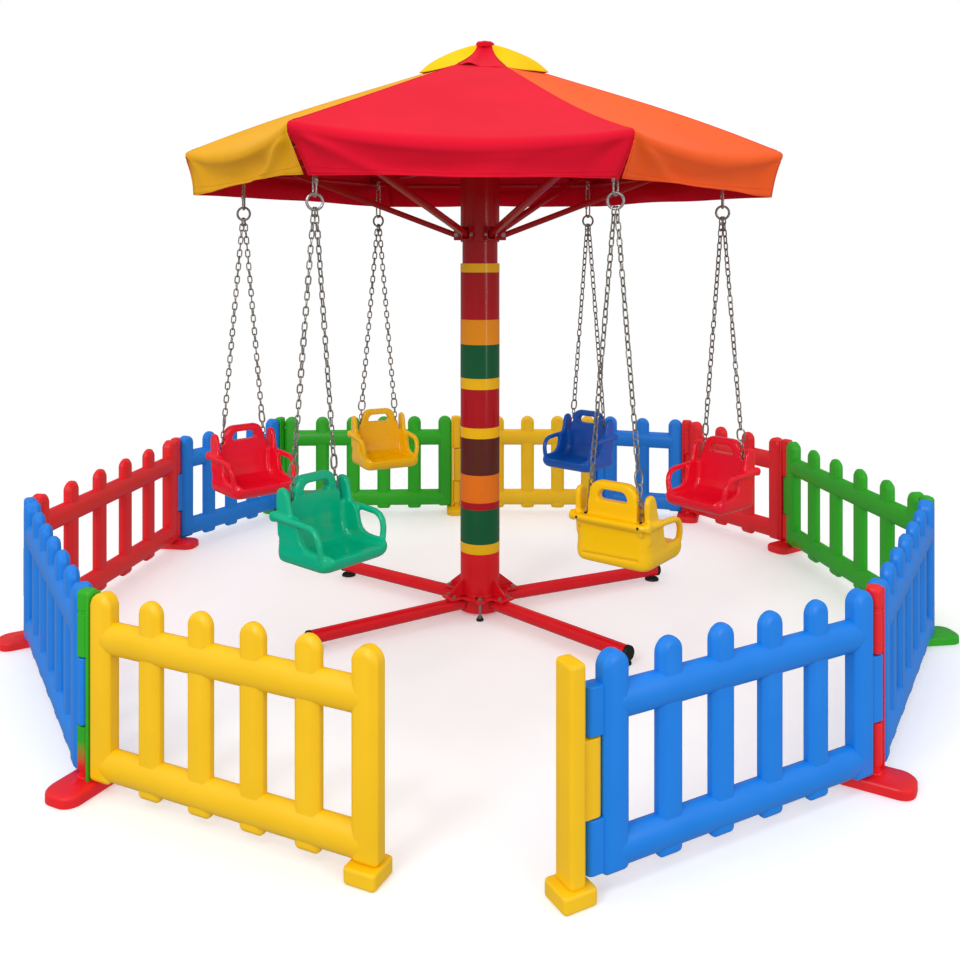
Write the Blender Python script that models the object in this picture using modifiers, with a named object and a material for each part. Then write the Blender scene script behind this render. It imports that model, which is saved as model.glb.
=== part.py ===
# Chair swing ride for small children: a mast on four legs, a turning head with a six-sided canopy,
# six bucket seats on chains, and a ring of plastic picket fence around it.
# Metres, +Z up. The origin is on the floor under the mast, and the fence opens towards -Y.

import math

import bmesh
import bpy
from mathutils import Matrix, Vector

TOUCH = 0.0003  # gap left between pieces that touch

# Base
LEGS = ((25, 0.975), (145, 0.84), (213, 0.84), (314, 0.845))  # direction in degrees and reach
LEG_RADIUS = 0.0285
LEG_HEIGHT = 0.048
LEG_CAP_RADIUS = 0.0305
LEG_CAP_LENGTH = 0.016
LEG_PAD_SETBACK = 0.035  # from the tip of the leg to its levelling pad
PAD_RADIUS = 0.034
PAD_HEIGHT = 0.012
SCREW_RADIUS = 0.006
HUB_RADIUS = 0.095
HUB_FOOT_RADIUS = 0.045
PLATE_THICKNESS = 0.010
PLATE_RADIUS = 0.125
PLATE_TAB_REACH = 0.178
PLATE_TAB_WIDTH = 0.074
SCREW_LOBE_REACH = 0.158
SCREW_LOBE_WIDTH = 0.046
HUB_SCREW_PLACE = 0.138
HUB_SCREW_PAD_RADIUS = 0.016
GUSSET_REACH = 0.165
GUSSET_RISE = 0.062
GUSSET_THICKNESS = 0.008
PLATE_BOTTOM = LEG_HEIGHT + LEG_RADIUS + TOUCH
PLATE_TOP = PLATE_BOTTOM + PLATE_THICKNESS

# Mast
MAST_RADIUS = 0.0885
NECK_RADIUS = 0.080
MAST_BOTTOM = PLATE_TOP + TOUCH
NECK_BOTTOM = 1.571
NECK_TOP = 1.668

# Turning head
HEAD_TURN = -3.0  # degrees that the head stands turned
ARM_DIRECTIONS = (0, 60, 124, 180, 240, 299)
SLEEVE_BOTTOM = NECK_TOP + TOUCH
SLEEVE_TOP = 2.10
POST_RADIUS = 0.030
LUG_REACH = 0.118
LUG_WIDTH = 0.040
LUG_BOTTOM = 1.676
LUG_TOP = 1.736
ARM_SIZE = 0.030
ARM_TOP = 2.0433
ARM_REACHES = (1.300, 1.218, 1.175, 1.300, 1.218, 1.218)
STRUT_SIZE = 0.028
STRUT_FOOT = (0.1238, 1.706)
STRUT_HEAD = (0.960, 2.024)
ROOF_THICKNESS = 0.004
ROOF_EAVE = 2.060
ROOF_PEAK = 2.540
VALANCE_BOTTOM = 1.885
VALANCE_TAPER = 0.96
SIDE_CORNER = 1.340  # reach of the two corners across
END_CORNER = (0.600, 1.130)  # the four corners of the front and back edges
RIM_SHARE = 0.935  # the rim frame follows the eave at this share of its size, under the arms
RIM_RADIUS = 0.0125
CAP_SHARE = 0.215
CAP_THICKNESS = 0.004
CAP_TOP = 2.566
KNOB_RADIUS = 0.034
KNOB_TOP = 2.577

# Hangers and chains
HANG_REACH = 1.09
EYE_RADIUS = 0.016
EYE_WIRE = 0.004
HOOK_BEND = 0.0145
HOOK_WIRE = 0.004
RING_RADIUS = 0.029
RING_WIRE = 0.0052
RING_HEIGHT = 1.7985
RING_PLANES = (-3, 15, -21, -3, 15, -21)  # the rings nearly all face the entrance
HOOK_TURNS = (90, 65, -65, 90, 65, -65)  # of each hook's plane against its arm
LINK_PLAY = 0.0007
CHAIN_RADIUS = 0.008
CHAIN_SPREAD = 0.108  # half the distance between the two chain ends
CHAIN_FORK = 1.722
RING_FORWARD = 0.004  # the ring hangs this far in front of the backrest

# Seats, in the order of the arms: heading in degrees (0 looks to -Y), top edge above the floor, colour
SEATS = (
    (-49, 0.790, "seat_red"),
    (-40, 0.755, "seat_blue"),
    (26, 0.762, "seat_yellow"),
    (40, 0.830, "seat_red"),
    (50, 0.825, "seat_green"),
    (142, 0.810, "seat_yellow"),
)
SEAT_HEIGHT = 0.300
SEAT_HALF_WIDTH = 0.150
TUB_TOP = 0.172
WALL_THICKNESS = 0.025
BACK_HALF_WIDTH = 0.096
BACK_THICKNESS = 0.028
EAR_INNER = 0.120
EAR_TOP = 0.268
ARM_TUBE_RADIUS = 0.011

# Fence
FENCE_TOP = 0.600
PICKET_WIDTH = 0.082
PICKET_THICKNESS = 0.044
END_PICKET_THICKNESS = 0.062
PICKET_BOTTOM = 0.025
END_PICKET_BOTTOM = 0.039
RAIL_HEIGHT = 0.098
RAIL_THICKNESS = 0.065
RAIL_LEVELS = (0.092, 0.468)
PIN_CLEARANCE = 0.025  # from a hinge pin to the piece beside it
POST_WIDTH = 0.010
POST_THICKNESS = 0.052
POST_HEAD_RADIUS = 0.0235
KNUCKLE_RADIUS = 0.0225
KNUCKLE_LEVELS = (0.052, 0.194, 0.398, 0.526)
KNUCKLE_PLAY = 0.004
FOOT_LENGTH = 0.240
FOOT_WIDTH = 0.125
FOOT_HEIGHT = 0.036
FOOT_CORNER = 0.045
END_POST_WIDTH = 0.048
END_POST_DEPTH = 0.076
END_FOOT_SIZE = 0.100
END_FOOT_HEIGHT = 0.045
END_POST_OFFSET = 0.061  # from the last hinge pin to the middle of the free end post

# Hinge pins of the fence on the floor, from the free end left of the entrance round to the right
PINS = (
    (-0.288, -1.890), (-1.189, -1.466), (-1.870, -0.376), (-1.683, 0.948), (-1.243, 1.632), (-0.145, 1.680),
    (0.753, 1.670), (1.275, 1.517), (1.687, 0.893), (1.871, -0.355), (1.198, -1.444), (0.279, -1.945))
PANELS = (
    (6, "fence_yellow"), (7, "fence_blue"), (6, "fence_red"), (5, "fence_blue"), (6, "fence_green"),
    (5, "fence_yellow"), (3, "fence_blue"), (4, "fence_red"), (6, "fence_green"), (7, "fence_blue"),
    (6, "fence_blue"))
POST_COLOURS = (
    "fence_green", "fence_red", "fence_red", "fence_green", "fence_yellow", "fence_blue", "fence_red",
    "fence_red", "fence_green", "fence_red", "fence_yellow")

FINISHES = {  # colour, roughness, metallic
    "red_paint": ((0.40, 0.008, 0.014), 0.35, 0.0),
    "black_rubber": ((0.012, 0.012, 0.012), 0.7, 0.0),
    "zinc_steel": ((0.45, 0.45, 0.43), 0.4, 1.0),
    "canopy_cloth": ((0.70, 0.03, 0.05), 0.7, 0.0),
    "cap_cloth": ((0.85, 0.45, 0.02), 0.7, 0.0),
    "seat_red": ((0.75, 0.004, 0.025), 0.25, 0.0),
    "seat_blue": ((0.01, 0.08, 0.45), 0.25, 0.0),
    "seat_yellow": ((0.90, 0.48, 0.0), 0.25, 0.0),
    "seat_green": ((0.0, 0.38, 0.19), 0.25, 0.0),
    "fence_red": ((0.75, 0.02, 0.03), 0.3, 0.0),
    "fence_blue": ((0.013, 0.20, 0.78), 0.3, 0.0),
    "fence_yellow": ((0.92, 0.60, 0.01), 0.3, 0.0),
    "fence_green": ((0.03, 0.36, 0.02), 0.3, 0.0),
}


def clear_scene():
    for obj in list(bpy.data.objects):
        bpy.data.objects.remove(obj, do_unlink=True)


def make_finishes():
    finishes = {}
    for name, (colour, roughness, metallic) in FINISHES.items():
        finish = bpy.data.materials.new(name)
        finish.use_nodes = True
        shader = finish.node_tree.nodes["Principled BSDF"]
        shader.inputs["Base Color"].default_value = (*colour, 1.0)
        shader.inputs["Roughness"].default_value = roughness
        shader.inputs["Metallic"].default_value = metallic
        finishes[name] = finish
    return finishes


clear_scene()
FINISH = make_finishes()
RIDE = bpy.data.collections.new("chair_swing_ride")
bpy.context.scene.collection.children.link(RIDE)


def turn(degrees):
    return Matrix.Rotation(math.radians(degrees), 4, "Z")


def mesh_from(bm, name="shape"):
    bmesh.ops.recalc_face_normals(bm, faces=bm.faces)
    mesh = bpy.data.meshes.new(name)
    bm.to_mesh(mesh)
    bm.free()
    return mesh


def cylinder(radius, bottom, top, place=(0, 0), sides=24, top_radius=None):
    bm = bmesh.new()
    bmesh.ops.create_cone(
        bm, cap_ends=True, segments=sides, radius1=radius, radius2=top_radius or radius, depth=top - bottom,
        matrix=Matrix.Translation((place[0], place[1], (top + bottom) / 2)))
    return mesh_from(bm)


def bar_between(start, end, radius, sides=12, spin=0.0):
    # A straight round or square bar from start to end.
    start, end = Vector(start), Vector(end)
    along = end - start
    bm = bmesh.new()
    bmesh.ops.create_cone(
        bm, cap_ends=True, segments=sides, radius1=radius, radius2=radius, depth=along.length,
        matrix=Matrix.Translation((start + end) / 2) @ along.to_track_quat("Z", "Y").to_matrix().to_4x4()
        @ Matrix.Rotation(spin, 4, "Z"))
    return mesh_from(bm)


def block(low, high, bevel=0.0):
    bm = bmesh.new()
    bmesh.ops.create_cube(bm, size=1.0)
    size = Vector(high) - Vector(low)
    middle = (Vector(high) + Vector(low)) / 2
    bmesh.ops.transform(bm, matrix=Matrix.Translation(middle) @ Matrix.Diagonal((*size, 1)), verts=bm.verts)
    if bevel:
        upright = [e for e in bm.edges if abs((e.verts[0].co - e.verts[1].co).z) > 1e-6]
        bmesh.ops.bevel(bm, geom=upright, offset=bevel, segments=1, profile=0.5, affect="EDGES")
    return mesh_from(bm)


def square_bar(start, end, size):
    return bar_between(start, end, size / math.sqrt(2), sides=4, spin=math.pi / 4)


def torus(major, minor, turned, rounds=14, sides=6):
    # A ring about its own Z axis, then turned and moved by a matrix.
    bm = bmesh.new()
    section = [bm.verts.new((major + minor * math.cos(a), 0, minor * math.sin(a)))
               for a in (2 * math.pi * i / sides for i in range(sides))]
    edges = [bm.edges.new((section[i], section[(i + 1) % sides])) for i in range(sides)]
    bmesh.ops.spin(bm, geom=section + edges, cent=(0, 0, 0), axis=(0, 0, 1), angle=2 * math.pi,
                   steps=rounds, use_merge=True, use_duplicate=False)
    bmesh.ops.remove_doubles(bm, verts=bm.verts, dist=1e-6)
    bmesh.ops.transform(bm, matrix=turned, verts=bm.verts)
    return mesh_from(bm)


def tube(points, radius, closed=False, sides=2):
    # A bent round bar through the points, as a welded mesh.
    curve = bpy.data.curves.new("tube", "CURVE")
    curve.dimensions = "3D"
    curve.bevel_depth = radius
    curve.bevel_resolution = sides
    curve.use_fill_caps = not closed
    spline = curve.splines.new("POLY")
    spline.points.add(len(points) - 1)
    for slot, point in zip(spline.points, points):
        slot.co = (*point, 1)
    spline.use_cyclic_u = closed
    holder = bpy.data.objects.new("tube", curve)
    bpy.context.scene.collection.objects.link(holder)
    bpy.context.view_layer.update()
    mesh = bpy.data.meshes.new_from_object(holder.evaluated_get(bpy.context.evaluated_depsgraph_get()))
    bpy.data.objects.remove(holder)
    bpy.data.curves.remove(curve)
    bm = bmesh.new()
    bm.from_mesh(mesh)
    bpy.data.meshes.remove(mesh)
    bmesh.ops.remove_doubles(bm, verts=bm.verts, dist=1e-5)
    return mesh_from(bm)


def extruded(outline, holes, thickness, turned):
    # A flat outline with holes, extruded by its thickness about its middle.
    curve = bpy.data.curves.new("outline", "CURVE")
    curve.dimensions = "2D"
    curve.fill_mode = "BOTH"
    curve.extrude = thickness / 2
    for loop in [outline, *holes]:
        spline = curve.splines.new("POLY")
        spline.points.add(len(loop) - 1)
        for slot, point in zip(spline.points, loop):
            slot.co = (point[0], point[1], 0, 1)
        spline.use_cyclic_u = True
    holder = bpy.data.objects.new("outline", curve)
    bpy.context.scene.collection.objects.link(holder)
    bpy.context.view_layer.update()
    mesh = bpy.data.meshes.new_from_object(holder.evaluated_get(bpy.context.evaluated_depsgraph_get()))
    bpy.data.objects.remove(holder)
    bpy.data.curves.remove(curve)
    bm = bmesh.new()
    bm.from_mesh(mesh)
    bpy.data.meshes.remove(mesh)
    bmesh.ops.remove_doubles(bm, verts=bm.verts, dist=1e-5)
    bmesh.ops.transform(bm, matrix=turned, verts=bm.verts)
    return mesh_from(bm)


def moved(mesh, matrix):
    mesh.transform(matrix)
    return mesh


def fused(shapes, cuts=()):
    # One closed mesh from shapes that overlap, less the cuts.
    holders = [bpy.data.objects.new("shape", mesh) for mesh in [*shapes, *cuts]]
    for holder in holders:
        bpy.context.scene.collection.objects.link(holder)
    first = holders[0]
    for index, holder in enumerate(holders[1:], start=1):
        step = first.modifiers.new("step", "BOOLEAN")
        step.operation = "UNION" if index < len(shapes) else "DIFFERENCE"
        step.solver = "EXACT"
        step.object = holder
    bpy.context.view_layer.update()
    mesh = bpy.data.meshes.new_from_object(first.evaluated_get(bpy.context.evaluated_depsgraph_get()))
    for holder in holders:
        bpy.data.objects.remove(holder)
    bm = bmesh.new()
    bm.from_mesh(mesh)
    bpy.data.meshes.remove(mesh)
    bmesh.ops.remove_doubles(bm, verts=bm.verts, dist=2e-6)
    bmesh.ops.dissolve_degenerate(bm, edges=bm.edges, dist=2e-6)
    return mesh_from(bm)


def place(name, mesh, finish, parent=None, matrix=None):
    mesh.name = name
    if not mesh.materials:
        mesh.materials.append(FINISH[finish])
    obj = bpy.data.objects.new(name, mesh)
    RIDE.objects.link(obj)
    if parent:
        obj.parent = parent
    if matrix is not None:
        obj.matrix_local = matrix
    return obj


def pivot(name, location, parent=None):
    # An empty on a joint's axis. What moves on the joint hangs under it.
    empty = bpy.data.objects.new(name, None)
    empty.empty_display_size = 0.05
    RIDE.objects.link(empty)
    if parent:
        empty.parent = parent
    empty.location = location
    return empty


def make_base():
    plate = [cylinder(PLATE_RADIUS, PLATE_BOTTOM, PLATE_TOP)]
    for angle, reach in LEGS:
        half = PLATE_TAB_WIDTH / 2
        tab = block((0.05, -half, PLATE_BOTTOM), (PLATE_TAB_REACH, half, PLATE_TOP))
        plate.append(moved(tab, turn(angle)))
    screws = []
    for angle in (90, 270):
        half = SCREW_LOBE_WIDTH / 2
        lobe = block((0.05, -half, PLATE_BOTTOM), (SCREW_LOBE_REACH, half, PLATE_TOP))
        plate.append(moved(lobe, turn(angle)))
        at = turn(angle) @ Vector((HUB_SCREW_PLACE, 0, 0))
        screws.append(cylinder(SCREW_RADIUS, PAD_HEIGHT / 2, PLATE_TOP + 0.012, at.xy, sides=8))
        screws.append(cylinder(HUB_SCREW_PAD_RADIUS, 0, PAD_HEIGHT, at.xy, sides=12))
    hub = cylinder(HUB_RADIUS, PAD_HEIGHT - 0.001, PLATE_BOTTOM + 0.001, sides=36)
    foot = cylinder(HUB_FOOT_RADIUS, 0, PAD_HEIGHT)
    gussets = []
    for angle, reach in LEGS:
        inner = MAST_RADIUS + 0.0006
        low = PLATE_TOP - 0.002
        outline = ((inner, low), (GUSSET_REACH, low), (GUSSET_REACH, PLATE_TOP + 0.008),
                   (inner, PLATE_TOP + GUSSET_RISE))
        web = extruded(outline, (), GUSSET_THICKNESS, Matrix.Rotation(math.pi / 2, 4, "X"))
        gussets.append(moved(web, turn(angle)))
    place("base_hub", fused([*plate, hub, foot, *screws, *gussets]), "red_paint")

    inner = HUB_RADIUS + TOUCH
    for number, (angle, reach) in enumerate(LEGS, start=1):
        pipe = bar_between((inner, 0, LEG_HEIGHT), (reach, 0, LEG_HEIGHT), LEG_RADIUS, sides=20)
        cap = bar_between((reach - LEG_CAP_LENGTH, 0, LEG_HEIGHT), (reach + 0.003, 0, LEG_HEIGHT),
                          LEG_CAP_RADIUS, sides=20)
        spot = (reach - LEG_PAD_SETBACK, 0)
        screw = cylinder(SCREW_RADIUS * 1.4, PAD_HEIGHT / 2, LEG_HEIGHT, spot, sides=8)
        pad = cylinder(PAD_RADIUS, 0, PAD_HEIGHT, spot, sides=16, top_radius=PAD_RADIUS * 0.9)
        place(f"leg_{number}", fused([pipe, cap, screw, pad]), "red_paint", matrix=turn(angle))


def make_mast():
    lower = cylinder(MAST_RADIUS, MAST_BOTTOM, NECK_BOTTOM, sides=48)
    neck = cylinder(NECK_RADIUS, NECK_BOTTOM - 0.01, NECK_TOP, sides=48)
    place("mast_column", fused([lower, neck]), "red_paint")


def hexagon(share, height):
    # The canopy's corners at a share of its full size.
    x, y = END_CORNER
    corners = ((SIDE_CORNER, 0), (x, y), (-x, y), (-SIDE_CORNER, 0), (-x, -y), (x, -y))
    return [Vector((share * cx, share * cy, height)) for cx, cy in corners]


def hexagonal_shell(rings, thickness):
    # A six-sided skin through rings of (share, height), thickened inwards.
    bm = bmesh.new()
    loops = [[bm.verts.new(corner) for corner in hexagon(share, height)] for share, height in rings]
    bm.verts.ensure_lookup_table()
    for loop in loops:
        for a, b in zip(loop, loop[1:] + loop[:1]):
            bm.edges.new((a, b))
    for upper, lower in zip(loops, loops[1:]):
        pair = [e for e in bm.edges if set(e.verts) <= set(upper) or set(e.verts) <= set(lower)]
        bmesh.ops.bridge_loops(bm, edges=pair)
    bmesh.ops.contextual_create(bm, geom=loops[0])
    bmesh.ops.recalc_face_normals(bm, faces=bm.faces)
    bm.normal_update()
    if max(bm.faces, key=lambda f: f.calc_center_median().z).normal.z < 0:
        bmesh.ops.reverse_faces(bm, faces=bm.faces)
    mesh = bpy.data.meshes.new("shell")
    bm.to_mesh(mesh)
    bm.free()
    holder = bpy.data.objects.new("shell", mesh)
    bpy.context.scene.collection.objects.link(holder)
    skin = holder.modifiers.new("skin", "SOLIDIFY")
    skin.thickness = thickness
    skin.offset = -1
    skin.use_even_offset = True
    bpy.context.view_layer.update()
    thick = bpy.data.meshes.new_from_object(holder.evaluated_get(bpy.context.evaluated_depsgraph_get()))
    bpy.data.objects.remove(holder)
    return thick


def roof_height(share):
    return ROOF_PEAK - (ROOF_PEAK - ROOF_EAVE) * share


def make_head(axis):
    head_turn = turn(HEAD_TURN)
    sleeve = cylinder(MAST_RADIUS, SLEEVE_BOTTOM, SLEEVE_TOP, sides=48)
    post_top = roof_height(POST_RADIUS / END_CORNER[1]) - ROOF_THICKNESS * 1.1 - TOUCH
    post = cylinder(POST_RADIUS, SLEEVE_TOP - 0.01, post_top, sides=16)
    lugs = []
    for direction in ARM_DIRECTIONS:
        lug = block((0.06, -LUG_WIDTH / 2, LUG_BOTTOM), (LUG_REACH, LUG_WIDTH / 2, LUG_TOP))
        lugs.append(moved(lug, turn(direction)))
    place("head_sleeve", fused([sleeve, post, *lugs]), "red_paint", axis, head_turn)

    arm_middle = ARM_TOP - ARM_SIZE / 2
    strut = square_bar((STRUT_FOOT[0], 0, STRUT_FOOT[1]), (STRUT_HEAD[0], 0, STRUT_HEAD[1]), STRUT_SIZE)
    eye_height = hook_top() - HOOK_WIRE - EYE_WIRE - LINK_PLAY + EYE_RADIUS
    upright = Matrix.Rotation(math.pi / 2, 4, "X")
    eye = torus(EYE_RADIUS, EYE_WIRE, Matrix.Translation((HANG_REACH, 0, eye_height)) @ upright)
    stem = cylinder(0.007, eye_height + EYE_RADIUS - 0.002, arm_middle, (HANG_REACH, 0), sides=8)
    for number, (direction, reach) in enumerate(zip(ARM_DIRECTIONS, ARM_REACHES), start=1):
        bar = square_bar((MAST_RADIUS + TOUCH, 0, arm_middle), (reach, 0, arm_middle), ARM_SIZE)
        arm = fused([bar, strut.copy(), stem.copy(), eye.copy()])
        place(f"arm_{number}", arm, "red_paint", axis, turn(HEAD_TURN + direction))

    rim_height = ARM_TOP - ARM_SIZE - TOUCH - RIM_RADIUS
    rim = tube(hexagon(RIM_SHARE, rim_height), RIM_RADIUS, closed=True)
    place("rim_frame", rim, "red_paint", axis, head_turn)
    rings = ((0.004, roof_height(0.004)), (1, ROOF_EAVE), (VALANCE_TAPER, VALANCE_BOTTOM))
    place("canopy", hexagonal_shell(rings, ROOF_THICKNESS), "canopy_cloth", axis, head_turn)
    lean = math.cos(math.atan((ROOF_PEAK - ROOF_EAVE) / END_CORNER[1]))
    edge = roof_height(CAP_SHARE) + (CAP_THICKNESS + TOUCH) / lean + 0.0002
    cap = hexagonal_shell(((KNOB_RADIUS / SIDE_CORNER, CAP_TOP), (CAP_SHARE, edge)), CAP_THICKNESS)
    knob = cylinder(KNOB_RADIUS * 0.84, CAP_TOP - 0.002, KNOB_TOP, sides=12)
    place("canopy_cap", fused([cap, knob]), "cap_cloth", axis, head_turn)


def hook_top():
    # Centre of the hook's upper wire, which is the pivot of the in and out swing.
    return 1.983


def ring_top():
    # Centre of the ring's upper wire, which is the pivot of the fore and aft swing.
    return RING_HEIGHT + RING_RADIUS


def hook_mesh():
    low = ring_top() - RING_WIRE - HOOK_WIRE - LINK_PLAY + HOOK_BEND
    high = hook_top() - HOOK_BEND
    steps = 6
    points = []
    for centre, start in ((high, 0.0), (low, math.pi)):
        for step in range(steps + 1):
            a = start + math.pi * step / steps
            points.append((HOOK_BEND * math.cos(a), 0, centre + HOOK_BEND * math.sin(a)))
    return moved(tube(points, HOOK_WIRE, closed=True, sides=1), Matrix.Translation((0, 0, -hook_top())))


def chains_mesh(ring_plane, heading, seat_bottom):
    # The two chains spread from the ring to the sides of the seat.
    drop = Matrix.Translation((0, 0, RING_HEIGHT))
    ring = torus(RING_RADIUS, RING_WIRE, drop @ turn(ring_plane) @ Matrix.Rotation(math.pi / 2, 4, "X"))
    end = seat_bottom + TUB_TOP + TOUCH + 0.0012
    strands = []
    for side in (-1, 1):
        points = [(side * 0.002, 0, RING_HEIGHT - RING_RADIUS), (side * 0.009, 0, CHAIN_FORK),
                  (side * CHAIN_SPREAD, RING_FORWARD, end)]
        strands.append(moved(tube(points, CHAIN_RADIUS, sides=1), turn(heading)))
    return moved(fused([ring, *strands]), Matrix.Translation((0, 0, -ring_top())))


def seat_mesh():
    # Looks to -Y. The plumb line of the ring is at the origin, and the seat's underside at z = 0.
    back = RING_FORWARD
    shell = (
        (0.020, 0.0), (-0.195, 0.0), (-0.232, 0.016), (-0.248, 0.040), (-0.238, 0.062), (-0.200, 0.070),
        (-0.150, 0.066), (-0.104, 0.078), (-0.068, 0.106), (-0.048, 0.142), (-0.042, TUB_TOP),
        (0.034, TUB_TOP), (0.040, TUB_TOP - 0.012), (0.040, 0.022))
    hollow = (
        (-0.300, 0.056), (-0.180, 0.050), (-0.075, 0.046), (-0.045, 0.056), (-0.026, 0.085),
        (-0.015, TUB_TOP + 0.02), (-0.300, TUB_TOP + 0.02))
    along_x = Matrix(((0, 0, 1, 0), (1, 0, 0, back), (0, 1, 0, 0), (0, 0, 0, 1)))
    tub = extruded(shell, (), 2 * SEAT_HALF_WIDTH, along_x)
    cavity = extruded(hollow, (), 2 * (SEAT_HALF_WIDTH - WALL_THICKNESS), along_x)
    steps = 4
    radius = 0.038
    outline = [(-BACK_HALF_WIDTH, TUB_TOP - 0.01), (BACK_HALF_WIDTH, TUB_TOP - 0.01)]
    for side in (1, -1):
        centre = side * (BACK_HALF_WIDTH - 0.006 - radius)
        arc = [(centre + side * radius * math.cos(a), SEAT_HEIGHT - radius + radius * math.sin(a))
               for a in (math.pi / 2 * step / steps for step in range(steps + 1))]
        outline += arc if side == 1 else arc[::-1]
    slot = [(-0.060, 0.232), (0.060, 0.232), (0.058, 0.256), (0.044, 0.270), (-0.044, 0.270), (-0.058, 0.256)]
    upright = Matrix.Rotation(math.pi / 2, 4, "X")
    backrest = extruded(outline, [slot], BACK_THICKNESS, Matrix.Translation((0, back, 0)) @ upright)
    ears = []
    side_outline = (
        (-0.040, TUB_TOP - 0.01), (0.034, TUB_TOP - 0.01), (0.030, EAR_TOP - 0.022), (0.016, EAR_TOP),
        (-0.008, EAR_TOP), (-0.022, EAR_TOP - 0.022))
    for side in (-1, 1):
        ear = extruded(side_outline, (), SEAT_HALF_WIDTH - EAR_INNER, along_x)
        ears.append(moved(ear, Matrix.Translation((side * (SEAT_HALF_WIDTH + EAR_INNER) / 2, 0, 0))))
    reach = SEAT_HALF_WIDTH + 0.009
    half = [(reach - 0.012, back - 0.214, 0.045), (reach, back - 0.204, 0.106), (reach, back - 0.190, 0.134),
            (reach, back - 0.160, 0.148), (reach, back + 0.038, 0.156), (reach - 0.012, back + 0.050, 0.156)]
    frame = tube([*half, *[(-x, y, z) for x, y, z in half[::-1]]], ARM_TUBE_RADIUS)
    return fused([tub, backrest, *ears, frame], [cavity])


def make_seats(head):
    hook = hook_mesh()
    seat_shape = seat_mesh()
    for number, (heading, top, finish) in enumerate(SEATS, start=1):
        angle = HEAD_TURN + ARM_DIRECTIONS[number - 1]
        spot = turn(angle) @ Vector((HANG_REACH, 0, hook_top()))
        eye_pivot = pivot(f"eye_pivot_{number}", spot, head)
        place(f"hook_{number}", hook, "zinc_steel", eye_pivot, turn(angle + HOOK_TURNS[number - 1]))
        ring_pivot = pivot(f"ring_pivot_{number}", (0, 0, ring_top() - hook_top()), eye_pivot)
        bottom = top - SEAT_HEIGHT
        chains = chains_mesh(RING_PLANES[number - 1], heading, bottom)
        place(f"chains_{number}", chains, "zinc_steel", ring_pivot)
        shape = seat_shape.copy()
        drop = Matrix.Translation((0, 0, bottom - ring_top()))
        place(f"seat_{number}", shape, finish, ring_pivot, drop @ turn(heading))


def rail(start, end, level):
    # A six-sided bar with an edge up and an edge down, wider than the pickets are thick.
    bar = bar_between((start, 0, 0), (end, 0, 0), 0.5, sides=6)
    bar.transform(Matrix.Translation((0, 0, level)) @ Matrix.Diagonal((1, RAIL_THICKNESS, RAIL_HEIGHT, 1)))
    return bar


def knuckle(span, reach):
    # A barrel on the pin, with the web that carries it on its +X side.
    low, high = span
    barrel = cylinder(KNUCKLE_RADIUS, low, high, sides=10)
    web = block((0, -0.012, low + 0.001), (reach, 0.012, high - 0.001))
    return [barrel, web]


def joined(meshes):
    # Shapes that stand apart, put in one mesh.
    bm = bmesh.new()
    for mesh in meshes:
        bm.from_mesh(mesh)
    return mesh_from(bm)


def picket(middle, thickness):
    half = PICKET_WIDTH / 2
    shoulder = FENCE_TOP - half
    bottom = END_PICKET_BOTTOM if thickness == END_PICKET_THICKNESS else PICKET_BOTTOM
    outline = [(middle - half, bottom), (middle + half, bottom)]
    for step in range(7):
        a = math.pi * step / 6
        outline.append((middle + half * math.cos(a), shoulder + half * math.sin(a)))
    return extruded(outline, (), thickness, Matrix.Rotation(math.pi / 2, 4, "X"))


def panel_mesh(count, start, end, extras):
    # Pickets with round tops, thicker at both ends, and the two rails that carry them.
    pitch = (end - start - PICKET_WIDTH) / (count - 1)
    middles = [start + PICKET_WIDTH / 2 + pitch * index for index in range(count)]
    thick = [END_PICKET_THICKNESS, *[PICKET_THICKNESS] * (count - 2), END_PICKET_THICKNESS]
    pickets = [picket(middle, thickness) for middle, thickness in zip(middles, thick)]
    rails = [rail(middles[0], middles[-1], level) for level in RAIL_LEVELS]
    return fused([joined(pickets), joined(rails), *extras])


def foot_mesh():
    # A long low foot across the fence, with a sloping top edge.
    steps = 4
    outline = []
    x, y = FOOT_LENGTH / 2 - FOOT_CORNER, FOOT_WIDTH / 2 - FOOT_CORNER
    for number, (along, across) in enumerate(((x, y), (-x, y), (-x, -y), (x, -y))):
        for step in range(steps + 1):
            a = math.pi / 2 * (number + step / steps)
            outline.append((along + FOOT_CORNER * math.cos(a), across + FOOT_CORNER * math.sin(a)))
    rings = ((1.0, 0.0), (1.0, 0.7 * FOOT_HEIGHT), (0.88, FOOT_HEIGHT))
    bm = bmesh.new()
    loops = [[bm.verts.new((share * x, share * y, height)) for x, y in outline] for share, height in rings]
    for lower, upper in zip(loops, loops[1:]):
        for index, corner in enumerate(lower):
            following = (index + 1) % len(lower)
            bm.faces.new((corner, lower[following], upper[following], upper[index]))
    bm.faces.new(loops[0][::-1])
    bm.faces.new(loops[-1])
    return moved(mesh_from(bm), turn(90))


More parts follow.
